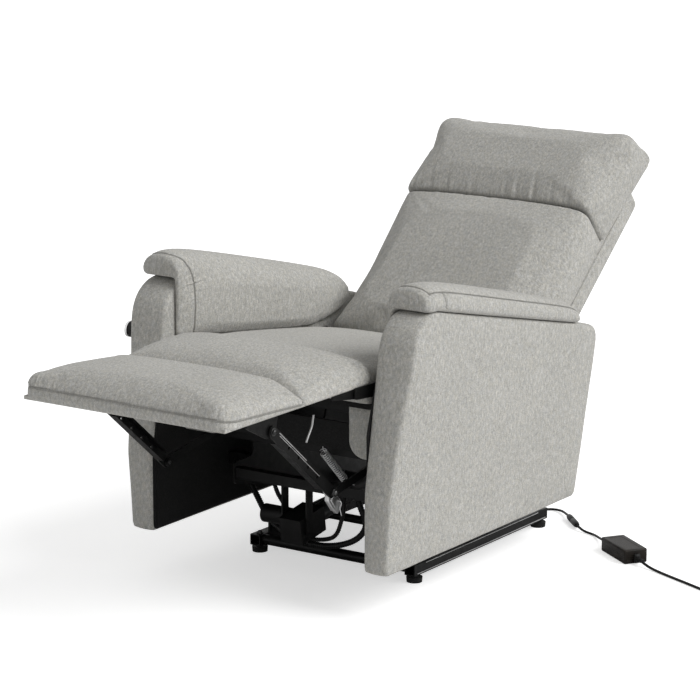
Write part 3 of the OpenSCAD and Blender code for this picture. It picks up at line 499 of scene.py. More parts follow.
def nearest_on(points, line):
    """For each point: its distance to a line of points, and how far along the line its nearest place is."""
    best = np.full(len(points), 1e9)
    along = np.zeros(len(points))
    done = 0.0
    for a, b in zip(line, line[1:]):
        d = b - a
        size = float(np.linalg.norm(d))
        if size < 1e-9:
            continue
        t = np.clip((points - a) @ d / size ** 2, 0, 1)
        gap = np.linalg.norm(points - (a + t[:, None] * d), axis=1)
        closer = gap < best
        best[closer] = gap[closer]
        along[closer] = done + t[closer] * size
        done += size
    return best, along


def laid_on(piece, line, step=0.006):
    """The line, evenly divided and laid on the piece's surface, with the surface's normals there."""
    tree = BVHTree.FromObject(piece, bpy.context.evaluated_depsgraph_get())
    places, outward = [], []
    for a, b in zip(line, line[1:]):
        a, b = Vector(a), Vector(b)
        count = max(1, round((b - a).length / step))
        for k in range(count):
            co, normal, _, _ = tree.find_nearest(a.lerp(b, k / count))
            places.append(co)
            outward.append(normal)
    co, normal, _, _ = tree.find_nearest(Vector(line[-1]))
    return places + [co], outward + [normal]


def sew(piece, line, width, depth, dark, pucker, reach, wave, seed, side=None):
    """Sew a seam along a line: a narrow valley with painted shade at its bottom, and uneven gathers beside
    it.
    side picks, from the points, how strongly each is gathered."""
    places, _ = laid_on(piece, line)
    path = np.array([tuple(p) for p in places])
    co, out = corners(piece), normals(piece)
    near, along = nearest_on(co, path)
    push = -depth * bell(near, width) - 0.35 * depth * bell(near, width * 4)
    strength = np.exp(-np.maximum(near - width, 0) / reach) * ease(near, 0, width * 1.5)
    if side is not None:
        strength = strength * side(co)
    push = push + pucker * strength * puckers(along, seed, wave)
    move_to(piece, co + out * push[:, None])
    # Painted shade at the seam's bottom, kept wherever more shade was painted before.
    old = np.zeros(len(co), np.float32)
    if "seam" in piece.data.attributes:
        piece.data.attributes["seam"].data.foreach_get("value", old)
    paint_seam_shade(piece, np.maximum(old, dark * bell(near, width * 0.75)))
    return places


def tube(name, path, radius, sides, material):
    """A round tube along a path, with closed ends. radius is a number, or a function of the path's share."""
    rings = []
    side = None
    last = len(path) - 1
    angles = [2 * math.pi * k / sides for k in range(sides)]
    for i, p in enumerate(path):
        heading = (path[min(i + 1, last)] - path[max(i - 1, 0)]).normalized()
        if side is None:
            side = heading.orthogonal().normalized()
        side = (side - heading * side.dot(heading)).normalized()
        up = heading.cross(side)
        r = radius(i / last) if callable(radius) else radius
        rings.append([p + r * (side * math.cos(a) + up * math.sin(a)) for a in angles])
    return ring_shell(name, rings, material)


# ---------- Seat and leg rest ----------

def make_block(name, half_w, low, high, base, top, radii, rims, base_r, material, flare=0.0, roll=0.0):
    """A block with rounded rims, to be swollen into a cushion. radii round its outline at the low and the
    high end, rims its top edge at the sides, the low end and the high end. roll draws the high end in."""
    side_r, low_r, high_r = rims
    tall = max(rims)
    levels = [(1 - math.sin(a), 0, base + base_r * (1 - math.cos(a))) for a in np.linspace(0, math.pi / 2, 5)]
    levels += [(0, 1 - math.cos(a), top - tall * (1 - math.sin(a))) for a in np.linspace(0, math.pi / 2, 10)]
    rings = []
    for under, over, z in levels:
        share = (z - base) / (top - base)
        foot = base_r * under
        inset = foot + side_r * over
        shrunk = [max(0.004, r - inset * 0.5) for r in radii]
        ring = rounded_ring(half_w - inset, low + foot + low_r * over,
                            high - foot - high_r * over - roll * share ** 2, shrunk, z)
        rings.append([(x * (1 + flare * (y - low) / (high - low) / half_w), y, z) for x, y, z in ring])
    return ring_shell(name, rings, material)


def crown(co, half_w, low, high, base, top, height, profile, power=3.0):
    """Raise a cushion's upper part in a dome. profile gives the dome's share from 0 at low to 1 at high."""
    across = 1 - np.abs(np.clip(co[:, 0] / half_w, -1, 1)) ** power
    lift = ease(co[:, 2], base, top)
    raised = co.copy()
    raised[:, 2] += height * across * profile(np.clip((co[:, 1] - low) / (high - low), 0, 1)) * lift
    return raised


def make_seat():
    pad = make_block("seat_pad", 0.261, -0.061, 0.504, -0.0918, -0.006, (0.012, 0.034), (0.03, 0.016, 0.03),
                     0.006, CLOTH_SEAT)
    even_mesh(pad, 0.0065)
    move_to(pad, crown(corners(pad), 0.262, -0.062, 0.506, -0.07, -0.01, 0.012,
                       lambda t: 0.35 + 0.65 * np.sin(np.pi * np.clip(t * 0.9 + 0.08, 0, 1))))
    inflate(pad, lambda co: np.maximum(co[:, 2] < -0.085, 0.9 * (co[:, 1] < -0.054)), 0.008, 2.0, 12)
    lay_in_frame(pad, SEAT)
    fit_cushion(pad, "seat_cushion", "chassis")


LEGREST_HALF, LEGREST_SEAM = 0.2705, -0.595


def make_legrest_pad(name, low, high, profile, height, radii, rims, rise=0.0):
    """A leg rest pad on its board, drawn down at its sides near the seam between the two pads."""
    z0, z1 = 0.5206, 0.5690 + rise
    pad = make_block(name, LEGREST_HALF, low, high, z0, z1, radii, rims, 0.002, CLOTH_SEAT)
    even_mesh(pad, 0.0055, 3)
    raised = crown(corners(pad), LEGREST_HALF, low, high, z0 + 0.01, z1, height, profile)
    tuck = ease(np.abs(raised[:, 0]), LEGREST_HALF - 0.075, LEGREST_HALF)
    tuck = tuck * bell(raised[:, 1] - LEGREST_SEAM, 0.13)
    raised[:, 2] -= 0.026 * tuck * ease(raised[:, 2], z0 + 0.004, z1)
    move_to(pad, raised)
    inflate(pad, lambda co: (co[:, 2] < z0 + 0.006) * 1.0, 0.010, 3.0, 12)
    finer(pad)
    return pad


def make_legrest():
    low, rim_z, half, sides_y = -0.8765, 0.5510, LEGREST_HALF, LEGREST_SEAM - 0.004
    toe = make_legrest_pad("toe_pad", low, LEGREST_SEAM - 0.0003,
                           lambda t: np.sin(np.pi * np.clip(0.10 + 0.90 * t, 0, 1)) ** 0.6, 0.014,
                           (0.034, 0.004), (0.020, 0.018, 0.032), 0.007)
    rim = [(-half, sides_y, 0.527), (-half, low + 0.16, 0.537), (-half, low + 0.04, rim_z - 0.004),
           (-half + 0.010, low + 0.010, rim_z), (-half + 0.03, low, rim_z + 0.001),
           (half - 0.03, low, rim_z - 0.004), (half - 0.010, low + 0.010, rim_z - 0.008),
           (half, low + 0.04, rim_z - 0.011), (half, low + 0.16, 0.534), (half, sides_y, 0.527)]

    def near_corners(co):
        corner = bell(np.abs(co[:, 0]) - 0.245, 0.05) * (co[:, 1] < low + 0.09)
        return (0.25 + corner) * (co[:, 2] > rim_z)

    # 0.45 is the painted shade at the bottom of the seam round the toe pad.
    line = sew(toe, rim, 0.0022, 0.0022, 0.45, 0.0034, 0.024, 0.021, 3, near_corners)
    add_thread("toe_seam", toe, line, "legrest")
    fit_cushion(toe, "legrest_toe_cushion", "legrest")
    calf = make_legrest_pad("calf_pad", LEGREST_SEAM + 0.0003, -0.3365,
                            lambda t: ease(t, -0.15, 0.40) * (1 - 0.30 * ease(t, 0.62, 1.0)), 0.022,
                            (0.004, 0.012), (0.032, 0.032, 0.012))
    fit_cushion(calf, "legrest_calf_cushion", "legrest")


def add_thread(name, piece, line, body):
    """A sewing thread laid in a seam, just below the surface."""
    _, outward = laid_on(piece, [tuple(p) for p in line], 1.0)
    path = [p + n * -0.0002 for p, n in zip(line, outward)]
    made = tube(name, path[::2] + ([path[-1]] if len(path) % 2 == 0 else []), 0.0007, 5, THREAD)
    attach(made, body)


# ---------- Back ----------

def make_back():
    seam, under, firm = 0.455, -0.1110, -0.104
    lumbar = make_block("back_pad", 0.2690, -0.004, seam - 0.0001, under, 0.020, (0.022, 0.004),
                        (0.036, 0.040, 0.010), 0.005, CLOTH_BACK, -0.004)
    even_mesh(lumbar, 0.0065)
    move_to(lumbar, crown(corners(lumbar), 0.2615, 0.003, seam - 0.0001, -0.08, 0.01, 0.018,
                          lambda t: ease(t, -0.3, 0.35) * (1 - 0.15 * ease(t, 0.6, 1.0)), 3.4))
    inflate(lumbar, lambda co: np.maximum(co[:, 2] < firm, 0.9 * (co[:, 1] > 0.447)), 0.014, 3.0, 16)
    finer(lumbar)
    head = make_block("head_pad", 0.2650, seam + 0.0001, 0.7440, under, 0.030, (0.004, 0.032),
                      (0.036, 0.014, 0.034), 0.006, CLOTH_BACK, 0.017, 0.042)
    even_mesh(head, 0.0065)
    raised = crown(corners(head), 0.272, seam + 0.0001, 0.70, -0.08, 0.015, 0.007,
                   lambda t: np.sin(np.pi * np.clip(t * 0.8 + 0.22, 0, 1)), 3.4)
    raised[:, 1] += 0.010 * np.clip(1 - (raised[:, 0] / 0.28) ** 2, 0, 1) * ease(raised[:, 1], 0.56, 0.72)
    move_to(head, raised)
    inflate(head, lambda co: np.maximum(co[:, 2] < firm, 0.9 * (co[:, 1] < 0.462)), 0.014, 3.0, 16)
    finer(head)
    gather_headrest(head)
    gather_lumbar(lumbar)
    for pad, node, fill in ((lumbar, "back_cushion", 0.7), (head, "headrest_cushion", 0.75)):
        lay_in_frame(pad, BACK)
        fit_cushion(pad, node, "backrest")


def gather_headrest(pad):
    """Short upright creases above the seam, and pinched folds at the rear top corners."""
    co, out = corners(pad), normals(pad)
    up = co[:, 1] - 0.4553
    front = ease(co[:, 2], -0.08, -0.02)
    creases = np.exp(-np.maximum(up - 0.006, 0) / 0.026) * ease(up, 0.0, 0.008) * front
    push = 0.0055 * creases * puckers(co[:, 0] + 0.15 * up, 4, 0.043)
    for x in (-1, 1):
        d = co - np.array([x * 0.283, 0.735, -0.085])
        reach = np.linalg.norm(d, axis=1)
        around = np.arctan2(d[:, 2], d[:, 1] + 1e-6)
        push += 0.0026 * bell(reach, 0.045) * np.sin(around * 9 + 1.0)
    move_to(pad, co + out * push[:, None])
    # Painted shade in a thin line along the seam, under the headrest's overhang.
    paint_seam_shade(pad, 0.5 * bell(up, 0.004) * front)


def gather_lumbar(pad):
    """A drawn-in line under the headrest seam, and soft folds at the lower corners."""
    co, out = corners(pad), normals(pad)
    down = 0.4545 - co[:, 1]
    front = ease(co[:, 2], -0.08, -0.02)
    push = 0.0016 * np.exp(-down / 0.02) * puckers(co[:, 0], 7, 0.06) * front
    for x in (-1, 1):
        d = co - np.array([x * 0.245, 0.012, -0.03])
        reach = np.linalg.norm(d, axis=1)
        push += 0.0028 * bell(reach, 0.05) * np.sin(np.arctan2(d[:, 2], d[:, 1] + 1e-6) * 7 + x)
    push += 0.0014 * np.sin(co[:, 0] * 31 + 2 * np.sin(co[:, 1] * 17)) * bell(co[:, 1] - 0.16, 0.12) * front
    move_to(pad, co + out * push[:, None])
    # Painted shade in a thin line along the top of the back pad, at the headrest seam.
    paint_seam_shade(pad, 0.5 * bell(down, 0.004) * front)


def make_back_cover():
    """Upholstered outer back: a shallow padded board with rounded corners."""
    half, low, high, rear, front = 0.2655, 0.004, 0.642, -0.1640, -0.1125
    rings = []
    for inset, z in ((0.012, rear), (0.004, rear + 0.003), (0.0, rear + 0.010), (0.0, rear + 0.030),
                     (0.0018, rear + 0.0325), (0.0, rear + 0.035), (0.003, front - 0.002), (0.012, front)):
        r = 0.030 - inset * 0.5
        rings.append(rounded_ring(half - inset, low + inset, high - inset, (r, r), z, 8))
    cover = ring_shell("back_cover", rings, CLOTH_BACK)
    select_only(cover)
    bpy.ops.object.shade_smooth_by_angle(angle=math.radians(50))
    lay_in_frame(cover, BACK)
    fit_cushion(cover, "back_shell", "backrest")


# ---------- Arms ----------

def round_outline(points, steps):
    """Outline through rounded corners, each (y, z, radius), in millimetres."""
    out = []
    n = len(points)
    for i in range(n):
        a, b, c = (Vector(points[(i + k) % n][:2]) for k in (-1, 0, 1))
        r = points[i][2]
        u, v = (a - b).normalized(), (c - b).normalized()
        half = math.acos(max(-1, min(1, u.dot(v)))) / 2
        p, q = b + u * r / math.tan(half), b + v * r / math.tan(half)
        centre = b + (u + v).normalized() * r / math.sin(half)
        a0 = math.atan2(*(p - centre).yx)
        turn = math.atan2((p - centre).x * (q - centre).y - (p - centre).y * (q - centre).x,
                          (p - centre).dot(q - centre))
        out += [centre + r * Vector((math.cos(a0 + turn * k / steps), math.sin(a0 + turn * k / steps)))
                for k in range(steps + 1)]
    return out


def divided(path, count):
    """Places at equal distances along the path, from its first point up to its last, which is left out."""
    sizes = [(b - a).length for a, b in zip(path, path[1:])]
    total, out, i, done = sum(sizes), [], 0, 0.0
    for k in range(count):
        want = total * k / count
        while done + sizes[i] < want:
            done += sizes[i]
            i += 1
        out.append(path[i].lerp(path[i + 1], (want - done) / sizes[i]))
    return out


ARM_FOOT, ARM_TOP_FRONT, ARM_TOP_REAR = 111, (-334, 697), (465, 520)
CORNER_Y, CORNER_Z, CORNER_R = -259.6, 586.4, 92
OUTLINE = round_outline([(-404, ARM_FOOT, 12), (-404, 290, 220), (*ARM_TOP_FRONT, CORNER_R),
                         (*ARM_TOP_REAR, 42), (457, 430, 150), (410, ARM_FOOT, 14)], 24)
ARM_PROFILE = divided(OUTLINE + OUTLINE[:1], 240)
ARM_CENTRE = sum(ARM_PROFILE, Vector((0, 0))) / len(ARM_PROFILE)


def placed(side, x, y, z):
    """A place in metres on one side of the chair, from millimetres."""
    return Vector((SIDES[side] * x * MM, y * MM, z * MM))


def arm_outer(z):
    """The arm's outer face leans out as it rises."""
    return 350 + 30 * min(1, max(0, (z - ARM_FOOT) / (580 - ARM_FOOT)))


def arm_top(y):
    (y0, z0), (y1, z1) = ARM_TOP_FRONT, ARM_TOP_REAR
    return z0 - (y - y0) * (z0 - z1) / (y1 - y0)


def make_arm_panel(side):
    """Upholstered arm: lined inside, with a boxed edge and a softly padded outer face."""
    rings = []
    for inset, share, out in ((16, 0, 0), (5, 0.01, 0), (1.5, 0.04, 0), (-0.5, 0.10, 0), (-2, 0.26, 0),
                              (-2.5, 0.5, 0), (-2, 0.74, 0), (-0.8, 0.88, 0), (0.7, 0.945, 0),
                              (2.6, 0.978, 0), (5, 0.994, 0), (8, 1, 0.2), (14, 1, 1.0), (26, 1, 2.2),
                              (48, 1, 3.2), (90, 1, 4.0), (160, 1, 4.6), (235, 1, 5)):
        ring = []
        for edge in ARM_PROFILE:
            d = edge - ARM_CENTRE
            q = ARM_CENTRE + d * (1 - inset / d.length)
            x = ARM_IN * 1000 + (arm_outer(q.y) - ARM_IN * 1000) * share + out
            wave = 1.2 * share * noise.noise(Vector((q.x, q.y, 40 * SIDES[side])) * 0.009)
            wave += 8 * share * math.exp(-((q.x + 320) / 95) ** 2 - ((q.y - 590) / 110) ** 2)
            ring.append(placed(side, x + wave, q.x, q.y))
        rings.append(ring)
    panel = ring_shell("arm_body_" + side, rings, CLOTH_SIDE)
    panel.data.materials.append(LINING)
    lined_to = 0.45

    def inside(centre, normal):
        return abs(centre.x) < ARM_IN + 0.0006

    shape(panel, inside, cut(lined_to))
    for face in panel.data.polygons:
        if inside(face.center, face.normal) and face.center.z < lined_to:
            face.material_index = 1
    fit_cushion(panel, "arm_panel_" + side, "chassis")


def swell(s):
    """The arm pad's fullness at share s of its length: 0 at its ends, 1 between."""
    return math.sqrt(max(0.0, 1 - abs(2 * s - 1) ** (7 if s < 0.5 else 11)))


PAD_FRONT, PAD_REAR = {"left": -296, "right": -312}, 376


def body_top(y):
    """Height of the arm body's top at y, round its front corner."""
    if y > -240:
        return arm_top(y)
    return CORNER_Z + math.sqrt(max(0, CORNER_R ** 2 - (y - CORNER_Y) ** 2))


def pad_section(side, s):
    """The arm pad's cross-section at share s of its length: its outer line from the inner hem over the top
    and its inner line, which follows the arm body."""
    y = PAD_FRONT[side] + (PAD_REAR - PAD_FRONT[side]) * s
    full = swell(s)
    top, under = arm_top(y), body_top(y)
    low = max(under, top - 6)
    hem = max(555 - (y + 270) * math.tan(SEAT_SLOPE) - 10, 476) + 40 * s ** 8
    t = (67 - 16 * s) * (0.50 + 0.50 * full)
    xo = arm_outer(top) + 1 + 10 * full
    xi = PAD_IN * 1000 + 1.5 + (1 - full) * 5
    middle = (xi + xo) / 2
    outer = [(xi + 6, hem), (xi + 1, hem + 10), (xi, hem + 40), (xi - 1, (hem + top) / 2), (xi, top - 10),
             (xi + 4, top + t * 0.40), (xi + 18, top + t * 0.80), (middle - 8, top + t),
             (xo - 34, top + t * 0.97), (xo - 13, top + t * 0.78), (xo - 3, top + t * 0.52),
             (xo, top + t * 0.30), (xo - 2, low + 7), (xo - 9, low + 1)]
    clear = low + 2
    xs, xp = ARM_IN * 1000 - 0.5, arm_outer(top) - 2
    inner = [(xs, hem + 3), (xs, hem + 12), (xs, (hem + under) / 2), (xs, under - 4), (xs, clear),
             (xs + 12, clear), ((xs + xp) / 2, clear), (xp - 30, clear), (xp - 20, clear), (xp - 12, clear),
             (xp - 6, clear), (xp - 2, clear - 1)]
    return y, outer, inner


def pad_point(side, s, share):
    """A place on the pad's outer skin: share runs from the inner hem over the top to the outer roll."""
    y, outer, _ = pad_section(side, s)
    line = curve_through(outer, 6)
    at = line[round(share * (len(line) - 1))]
    return placed(side, at.x, y, at.y)


def make_arm_pad(side):
    rings = []
    for k in range(41):
        s = 0.5 - 0.5 * math.cos(math.pi * k / 40)
        y, outer, inner = pad_section(side, s)
        section = curve_through(outer, 3) + [Vector(q) for q in reversed(inner)]
        rings.append([placed(side, q.x, y, q.y) for q in section])
    pad = ring_shell("arm_pad_" + side + "_cover", rings, CLOTH_SIDE)
    even_mesh(pad, 0.0048, 3)

    def held(co):
        x, y, z = np.abs(co[:, 0]), co[:, 1], co[:, 2]
        top = arm_top(y * 1000) * MM
        return ((x > ARM_IN - 0.004) & (z < top + 0.005) & (x < 0.389)) * 1.0

    inflate(pad, held, 0.006, 2.5, 12)
    finer(pad)
    shoulder = [pad_point(side, s / 60, 0.70) for s in range(2, 60)]
    # The fifth number of each sew below is the painted shade at its seam's bottom.
    line = sew(pad, shoulder, 0.0022, 0.0022, 0.35, 0.0012, 0.020, 0.033, 5 + SIDES[side])
    add_thread("arm_pad_" + side + "_seam", pad, line, "chassis")
    across = [pad_point(side, 0.105, 0.70 + 0.026 * k) for k in range(9)]
    sew(pad, across, 0.0024, 0.0032, 0.45, 0.0026, 0.016, 0.013, 8)
    front = []
    for k in range(28):
        share = 0.70 - 0.70 * k / 27
        down = 0.70 - share
        width = 22 - 8 * math.sin(math.pi * min(1.0, down / 0.25)) + 28 * ease(down, 0.15, 0.42)
        front.append(pad_point(side, width / 662, share))

    def inner_side(co):
        return bell(co[:, 2] - 0.665, 0.035) * (co[:, 1] > -0.30) + 0.2

    line = sew(pad, front, 0.0022, 0.0026, 0.45, 0.0030, 0.020, 0.017, 11, inner_side)
    add_thread("arm_pad_" + side + "_front_seam", pad, line, "chassis")
    fit_cushion(pad, "arm_pad_" + side, "chassis")


# ---------- Front corner pieces ----------

def make_aprons():
    """Padded fabric corner pieces below the seat's front edge, round at their lower inner corner."""
    x0, x1, z0, z1, r = 170.5, 286.5, 329.5, 452, 40
    outline = round_outline([(x1, z0, 3), (x1, z1, 3), (x0, z1, 3), (x0, z0, r)], 10)
    middle = sum(outline, Vector((0, 0))) / len(outline)
    for side in SIDES:
        rings = []
        for inset, y in ((3, -274), (0, -275.5), (0, -281), (2, -284.5), (7, -287), (16, -289), (34, -290)):
            ring = []
            for p in outline:
                d = p - middle
                q = middle + d * (1 - inset / d.length)
                ring.append(placed(side, q.x, y, q.y))
            rings.append(ring)
        apron = ring_shell("apron_" + side, rings, CLOTH_SIDE)
        fit_cushion(apron, "front_apron", "chassis")


# ---------- Looms ----------

LOOM_A = [(-283.8, -88, 196), (-279, -88, 196), (-259, -88, 184), (-225, -92, 140), (-170, -112, 92),
          (-80, -140, 68), (10, -146, 64), (80, -136, 84), (108, -124, 120), (96, -128, 168),
          (90, -136, 200), (90, -136, 209.5)]
LOOM_B = [(-150, -128, 209.5), (-150, -126, 190), (-138, -122, 158), (-116, -122, 132), (-84, -126, 112),
          (-40, -150, 78), (40, -158, 92), (62, -152, 140), (60, -138, 190), (60, -136, 209.5)]


def make_looms():
    """Two bowed looms in corrugated sleeves, taped here and there."""
    ridge = 0.0014
    for name, points, d in (("motor_loom", LOOM_A, 15.0), ("switch_loom", LOOM_B, 10.5)):
        route = led(points, 8)
        path = divided(route, round(length_of(route) / ridge)) + [route[-1]]
        radii = [d / 2 * MM * (1 - 0.10 * (k // 2 % 2)) for k in range(len(path))]
        for at in (0.12, 0.38, 0.63, 0.86):
            centre = round(at * len(path))
            for k in range(centre - 7, centre + 8):
                radii[k] = d / 2 * MM
        loom = tube(name, path, lambda t: radii[round(t * (len(path) - 1))], 14, PLASTIC)
        loom.data.shade_flat()
        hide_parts("wiring_loom")
        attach(loom, "chassis")


# ---------- Modelling by hand ----------

def begin(kind, name, material, **values):
    """A primitive, added with nothing else selected."""
    bpy.ops.object.select_all(action="DESELECT")
    getattr(bpy.ops.mesh, "primitive_" + kind + "_add")(**values)
    piece = bpy.context.object
    piece.name = name
    bpy.ops.object.transform_apply(location=True, rotation=True, scale=True)
    piece.data.materials.clear()
    piece.data.materials.append(material)
    return piece


def shape(piece, chosen, *steps):
    """Run edit-mode steps on the faces that chosen(centre, normal) picks."""
    select_only(piece)
    bpy.ops.object.mode_set(mode="EDIT")
    bpy.ops.mesh.select_mode(type="FACE")
    bpy.ops.mesh.select_all(action="DESELECT")
    bpy.ops.object.mode_set(mode="OBJECT")
    for face in piece.data.polygons:
        face.select = bool(chosen(face.center, face.normal))
    bpy.ops.object.mode_set(mode="EDIT")
    for operator, values in steps:
        operator(**values)
    bpy.ops.object.mode_set(mode="OBJECT")


def inset(thickness, depth=0.0):
    return bpy.ops.mesh.inset, {"thickness": thickness, "depth": depth}


def extrude(move=(0, 0, 0)):
    return bpy.ops.mesh.extrude_region_move, {"TRANSFORM_OT_translate": {"value": move}}


def resize(x, y=None, z=None):
    return bpy.ops.transform.resize, {"value": (x, x if y is None else y, x if z is None else z)}


def bevel(offset, segments):
    return bpy.ops.mesh.bevel, {"offset": offset, "segments": segments, "affect": "EDGES"}


def cut(z):
    return bpy.ops.mesh.bisect, {"plane_co": (0, 0, z), "plane_no": (0, 0, 1)}


def fatten(value):
    return bpy.ops.transform.shrink_fatten, {"value": value}


def everything(centre, normal):
    return True


def facing(direction):
    aim = Vector(direction).normalized()
    return lambda centre, normal: normal.dot(aim) > 0.9


def set_down(piece, at, direction, body):
    """Turn a piece made upright at the origin to face a direction, and put it in its place."""
    aim = Vector(direction).to_track_quat("Z", "Y").to_matrix().to_4x4()
    piece.data.transform(Matrix.Translation(Vector(at) * MM) @ aim)
    finish_piece(piece, body)


def finish_piece(piece, body):
    select_only(piece)
    bpy.ops.object.mode_set(mode="EDIT")
    bpy.ops.mesh.select_all(action="SELECT")
    bpy.ops.mesh.remove_doubles(threshold=0.00001)
    bpy.ops.mesh.normals_make_consistent(inside=False)
    bpy.ops.object.mode_set(mode="OBJECT")
    bpy.ops.object.shade_smooth_by_angle(angle=math.radians(35))
    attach(piece, body)


# ---------- Power supply ----------

def make_adapter():
    """Adapter case: two moulded halves with a fine parting groove and a shallow plain recess on top."""
    parting = 0.018
    case = begin("cube", "adapter_case", CASE, size=1, location=(0, 0, ADAPTER_SIZE[2] * MM / 2),
                 scale=[size * MM for size in ADAPTER_SIZE])
    shape(case, everything, bevel(0.0035, 3))
    for z in (-0.0004, 0.0004):
        shape(case, everything, cut(parting + z))
    shape(case, lambda c, n: abs(c.z - parting) < 0.0005 and abs(n.z) < 0.5, extrude(), fatten(0.0005))
    shape(case, lambda c, n: n.z > 0.99 and c.z > 0.033, inset(0.009), inset(0.0006, -0.0005))
    for x in (-1, 1):
        shape(case, lambda c, n: n.x * x > 0.99 and c.z < 0.017, inset(0.004), inset(0.0008, -0.0007))
    case.data.transform(Matrix.Translation(ADAPTER_MID * MM) @ Matrix.Rotation(TURN, 4, "Z"))
    finish_piece(case, "base")
    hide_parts("power_adapter")
    inlet = begin("cube", "mains_inlet", PLASTIC, size=1, location=(0, 0, 0.004), scale=(0.015, 0.022, 0.008))
    shape(inlet, everything, bevel(0.003, 3))
    shape(inlet, facing((0, 0, 1)), inset(0.003), extrude((0, 0, 0.002)), resize(0.7))
    set_down(inlet, MAINS_SOCKET - ADAPTER_DIR * 10, ADAPTER_DIR, "base")


def make_connector():
    """Inline connector: a barrel tapering in steps to both ends, with a parting line."""
    half = (CONNECTOR_B - CONNECTOR_A).length / 2 * MM - 0.020
    body = begin("cylinder", "connector_body", PLASTIC, vertices=28, radius=0.0078, depth=half * 2)
    for way in (1, -1):
        tapers = [step for rise, scale in ((4, 0.97), (4, 0.93), (4, 0.90), (3, 0.86))
                  for step in (extrude((0, 0, rise * MM * way)), resize(scale))]
        shape(body, lambda c, n: n.z * way > 0.9 and c.z * way > half - 0.0001, *tapers)
    for z in (-0.0022, 0.0022):
        shape(body, everything, cut(z))
    shape(body, lambda c, n: abs(c.z) < 0.002 and abs(n.z) < 0.2, extrude(), fatten(-0.0004))
    apply_modifier(body, "BEVEL", width=0.0005, segments=2)
    set_down(body, (CONNECTOR_A + CONNECTOR_B) / 2, CONNECTOR_DIR, "base")
    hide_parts("inline_connector")


def make_relief(name, at, direction, length, thick, thin):
    """Tapered strain relief with flexing grooves."""
    relief = begin("cone", name, RUBBER, vertices=24, radius1=thick * MM, radius2=thin * MM,
                   depth=length * MM, location=(0, 0, length * MM / 2))
    count = max(3, round(length / 5))
    for k in range(1, count * 2):
        z = length * MM * (0.15 + 0.8 * k / (count * 2))
        shape(relief, everything, cut(z))
    step = length * MM * 0.8 / (count * 2)

    def groove(centre, normal):
        k = (centre.z - length * MM * 0.15) / step
        return abs(normal.z) < 0.6 and 1 < k < count * 2 - 1 and int(k) % 2 == 1

    shape(relief, groove, extrude(), fatten(0.0006))
    set_down(relief, at, direction, "base")


def make_reliefs():
    make_relief("mains_relief", MAINS_SOCKET - ADAPTER_DIR * 3, ADAPTER_DIR, 24, 6.6, 4.0)
    make_relief("adapter_lead_relief", DC_SOCKET + ADAPTER_DIR * 2, -ADAPTER_DIR, 18, 5.6, 3.6)
    make_relief("connector_relief_a", CONNECTOR_A + CONNECTOR_DIR * 20, -CONNECTOR_DIR, 22, 5.4, 3.4)
    make_relief("connector_relief_b", CONNECTOR_B - CONNECTOR_DIR * 20, CONNECTOR_DIR, 22, 5.4, 3.4)


# ---------- Small steel parts ----------

def make_spring():
    """Return spring between the front panel's lower edge and the motor's cross tube, with its end wires."""
    turns, pitch, r, wire = 17, 0.0069, 0.0085, 0.0014
    coil = begin("circle", "return_spring", BRIGHT_STEEL_AND_PAINTED_HIGHLIGHT, vertices=8, radius=wire, location=(r, 0, 0),
                 rotation=(QUARTER, 0, 0))
    apply_modifier(coil, "SCREW", angle=2 * math.pi * turns, screw_offset=pitch * turns, steps=18 * turns,
                   render_steps=18 * turns, axis="Z")
    shape(coil, everything, (bpy.ops.mesh.select_all, {"action": "DESELECT"}),
          (bpy.ops.mesh.select_mode, {"type": "EDGE"}), (bpy.ops.mesh.select_non_manifold, {}),
          (bpy.ops.mesh.edge_face_add, {}))
    set_down(coil, (92, -270, 328), (0, 0.714, -0.701), "chassis")
    wire_piece("spring_end_upper", ((92, -270, 344), (92, -271, 336), (95, -272, 331), (99, -270, 328),
                                    (98, -267, 326)), 0.0011, BRIGHT_STEEL_AND_PAINTED_HIGHLIGHT, "chassis")
    wire_piece("spring_end_lower", ((99, -187, 246), (96, -182, 242), (92, -172, 235), (92, -156, 226),
                                    (92, -146, 222)), 0.0011, BRIGHT_STEEL_AND_PAINTED_HIGHLIGHT, "chassis")


def wire_piece(name, points, r, material, body):
    wire = tube(name, curve_through([Vector(p) * MM for p in points], 5), r, 10, material)
    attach(wire, body)


def make_hook():
    """Bent wire hook under the near side of the leg rest."""
    wire_piece("wire_hook", ((206, -470, 470), (206, -473, 458), (206, -476, 447), (206, -483, 436),
                             (206, -492, 424), (206, -498, 414)), 0.0023, WIRE, "legrest")


def make_tie_fitting():
    """Zinc fork at the leg rest drive's elbow, with a split pin through it."""
    fork = begin("cube", "drive_fork", ZINC, size=1, location=(0, 0, -0.022), scale=(0.012, 0.030, 0.036))
    shape(fork, facing((0, 0, 1)), extrude((0, 0, 0.009)), resize(0.85, 0.5, 1), extrude((0, 0, 0.014)))
    shape(fork, facing((0, 0, -1)), extrude((0, 0, -0.004)), resize(0.85, 0.8, 1), extrude((0, 0, -0.010)))
    for x in (-1, 1):
        shape(fork, lambda c, n: n.x * x > 0.9 and abs(c.z + 0.022) < 0.01, inset(0.005),
              extrude((0.002 * x, 0, 0)))
    apply_modifier(fork, "BEVEL", width=0.0009, segments=2)
    turn = Matrix.Rotation(math.radians(40), 4, "X")
    fork.data.transform(Matrix.Translation((0.2115, -0.420, 0.281)) @ turn)
    finish_piece(fork, "drive_links")
    wire_piece("split_pin", ((203, -394, 262), (222, -394, 262), (225, -392, 256), (222, -393, 246),
                             (224, -390, 228)), 0.0011, ZINC, "drive_links")


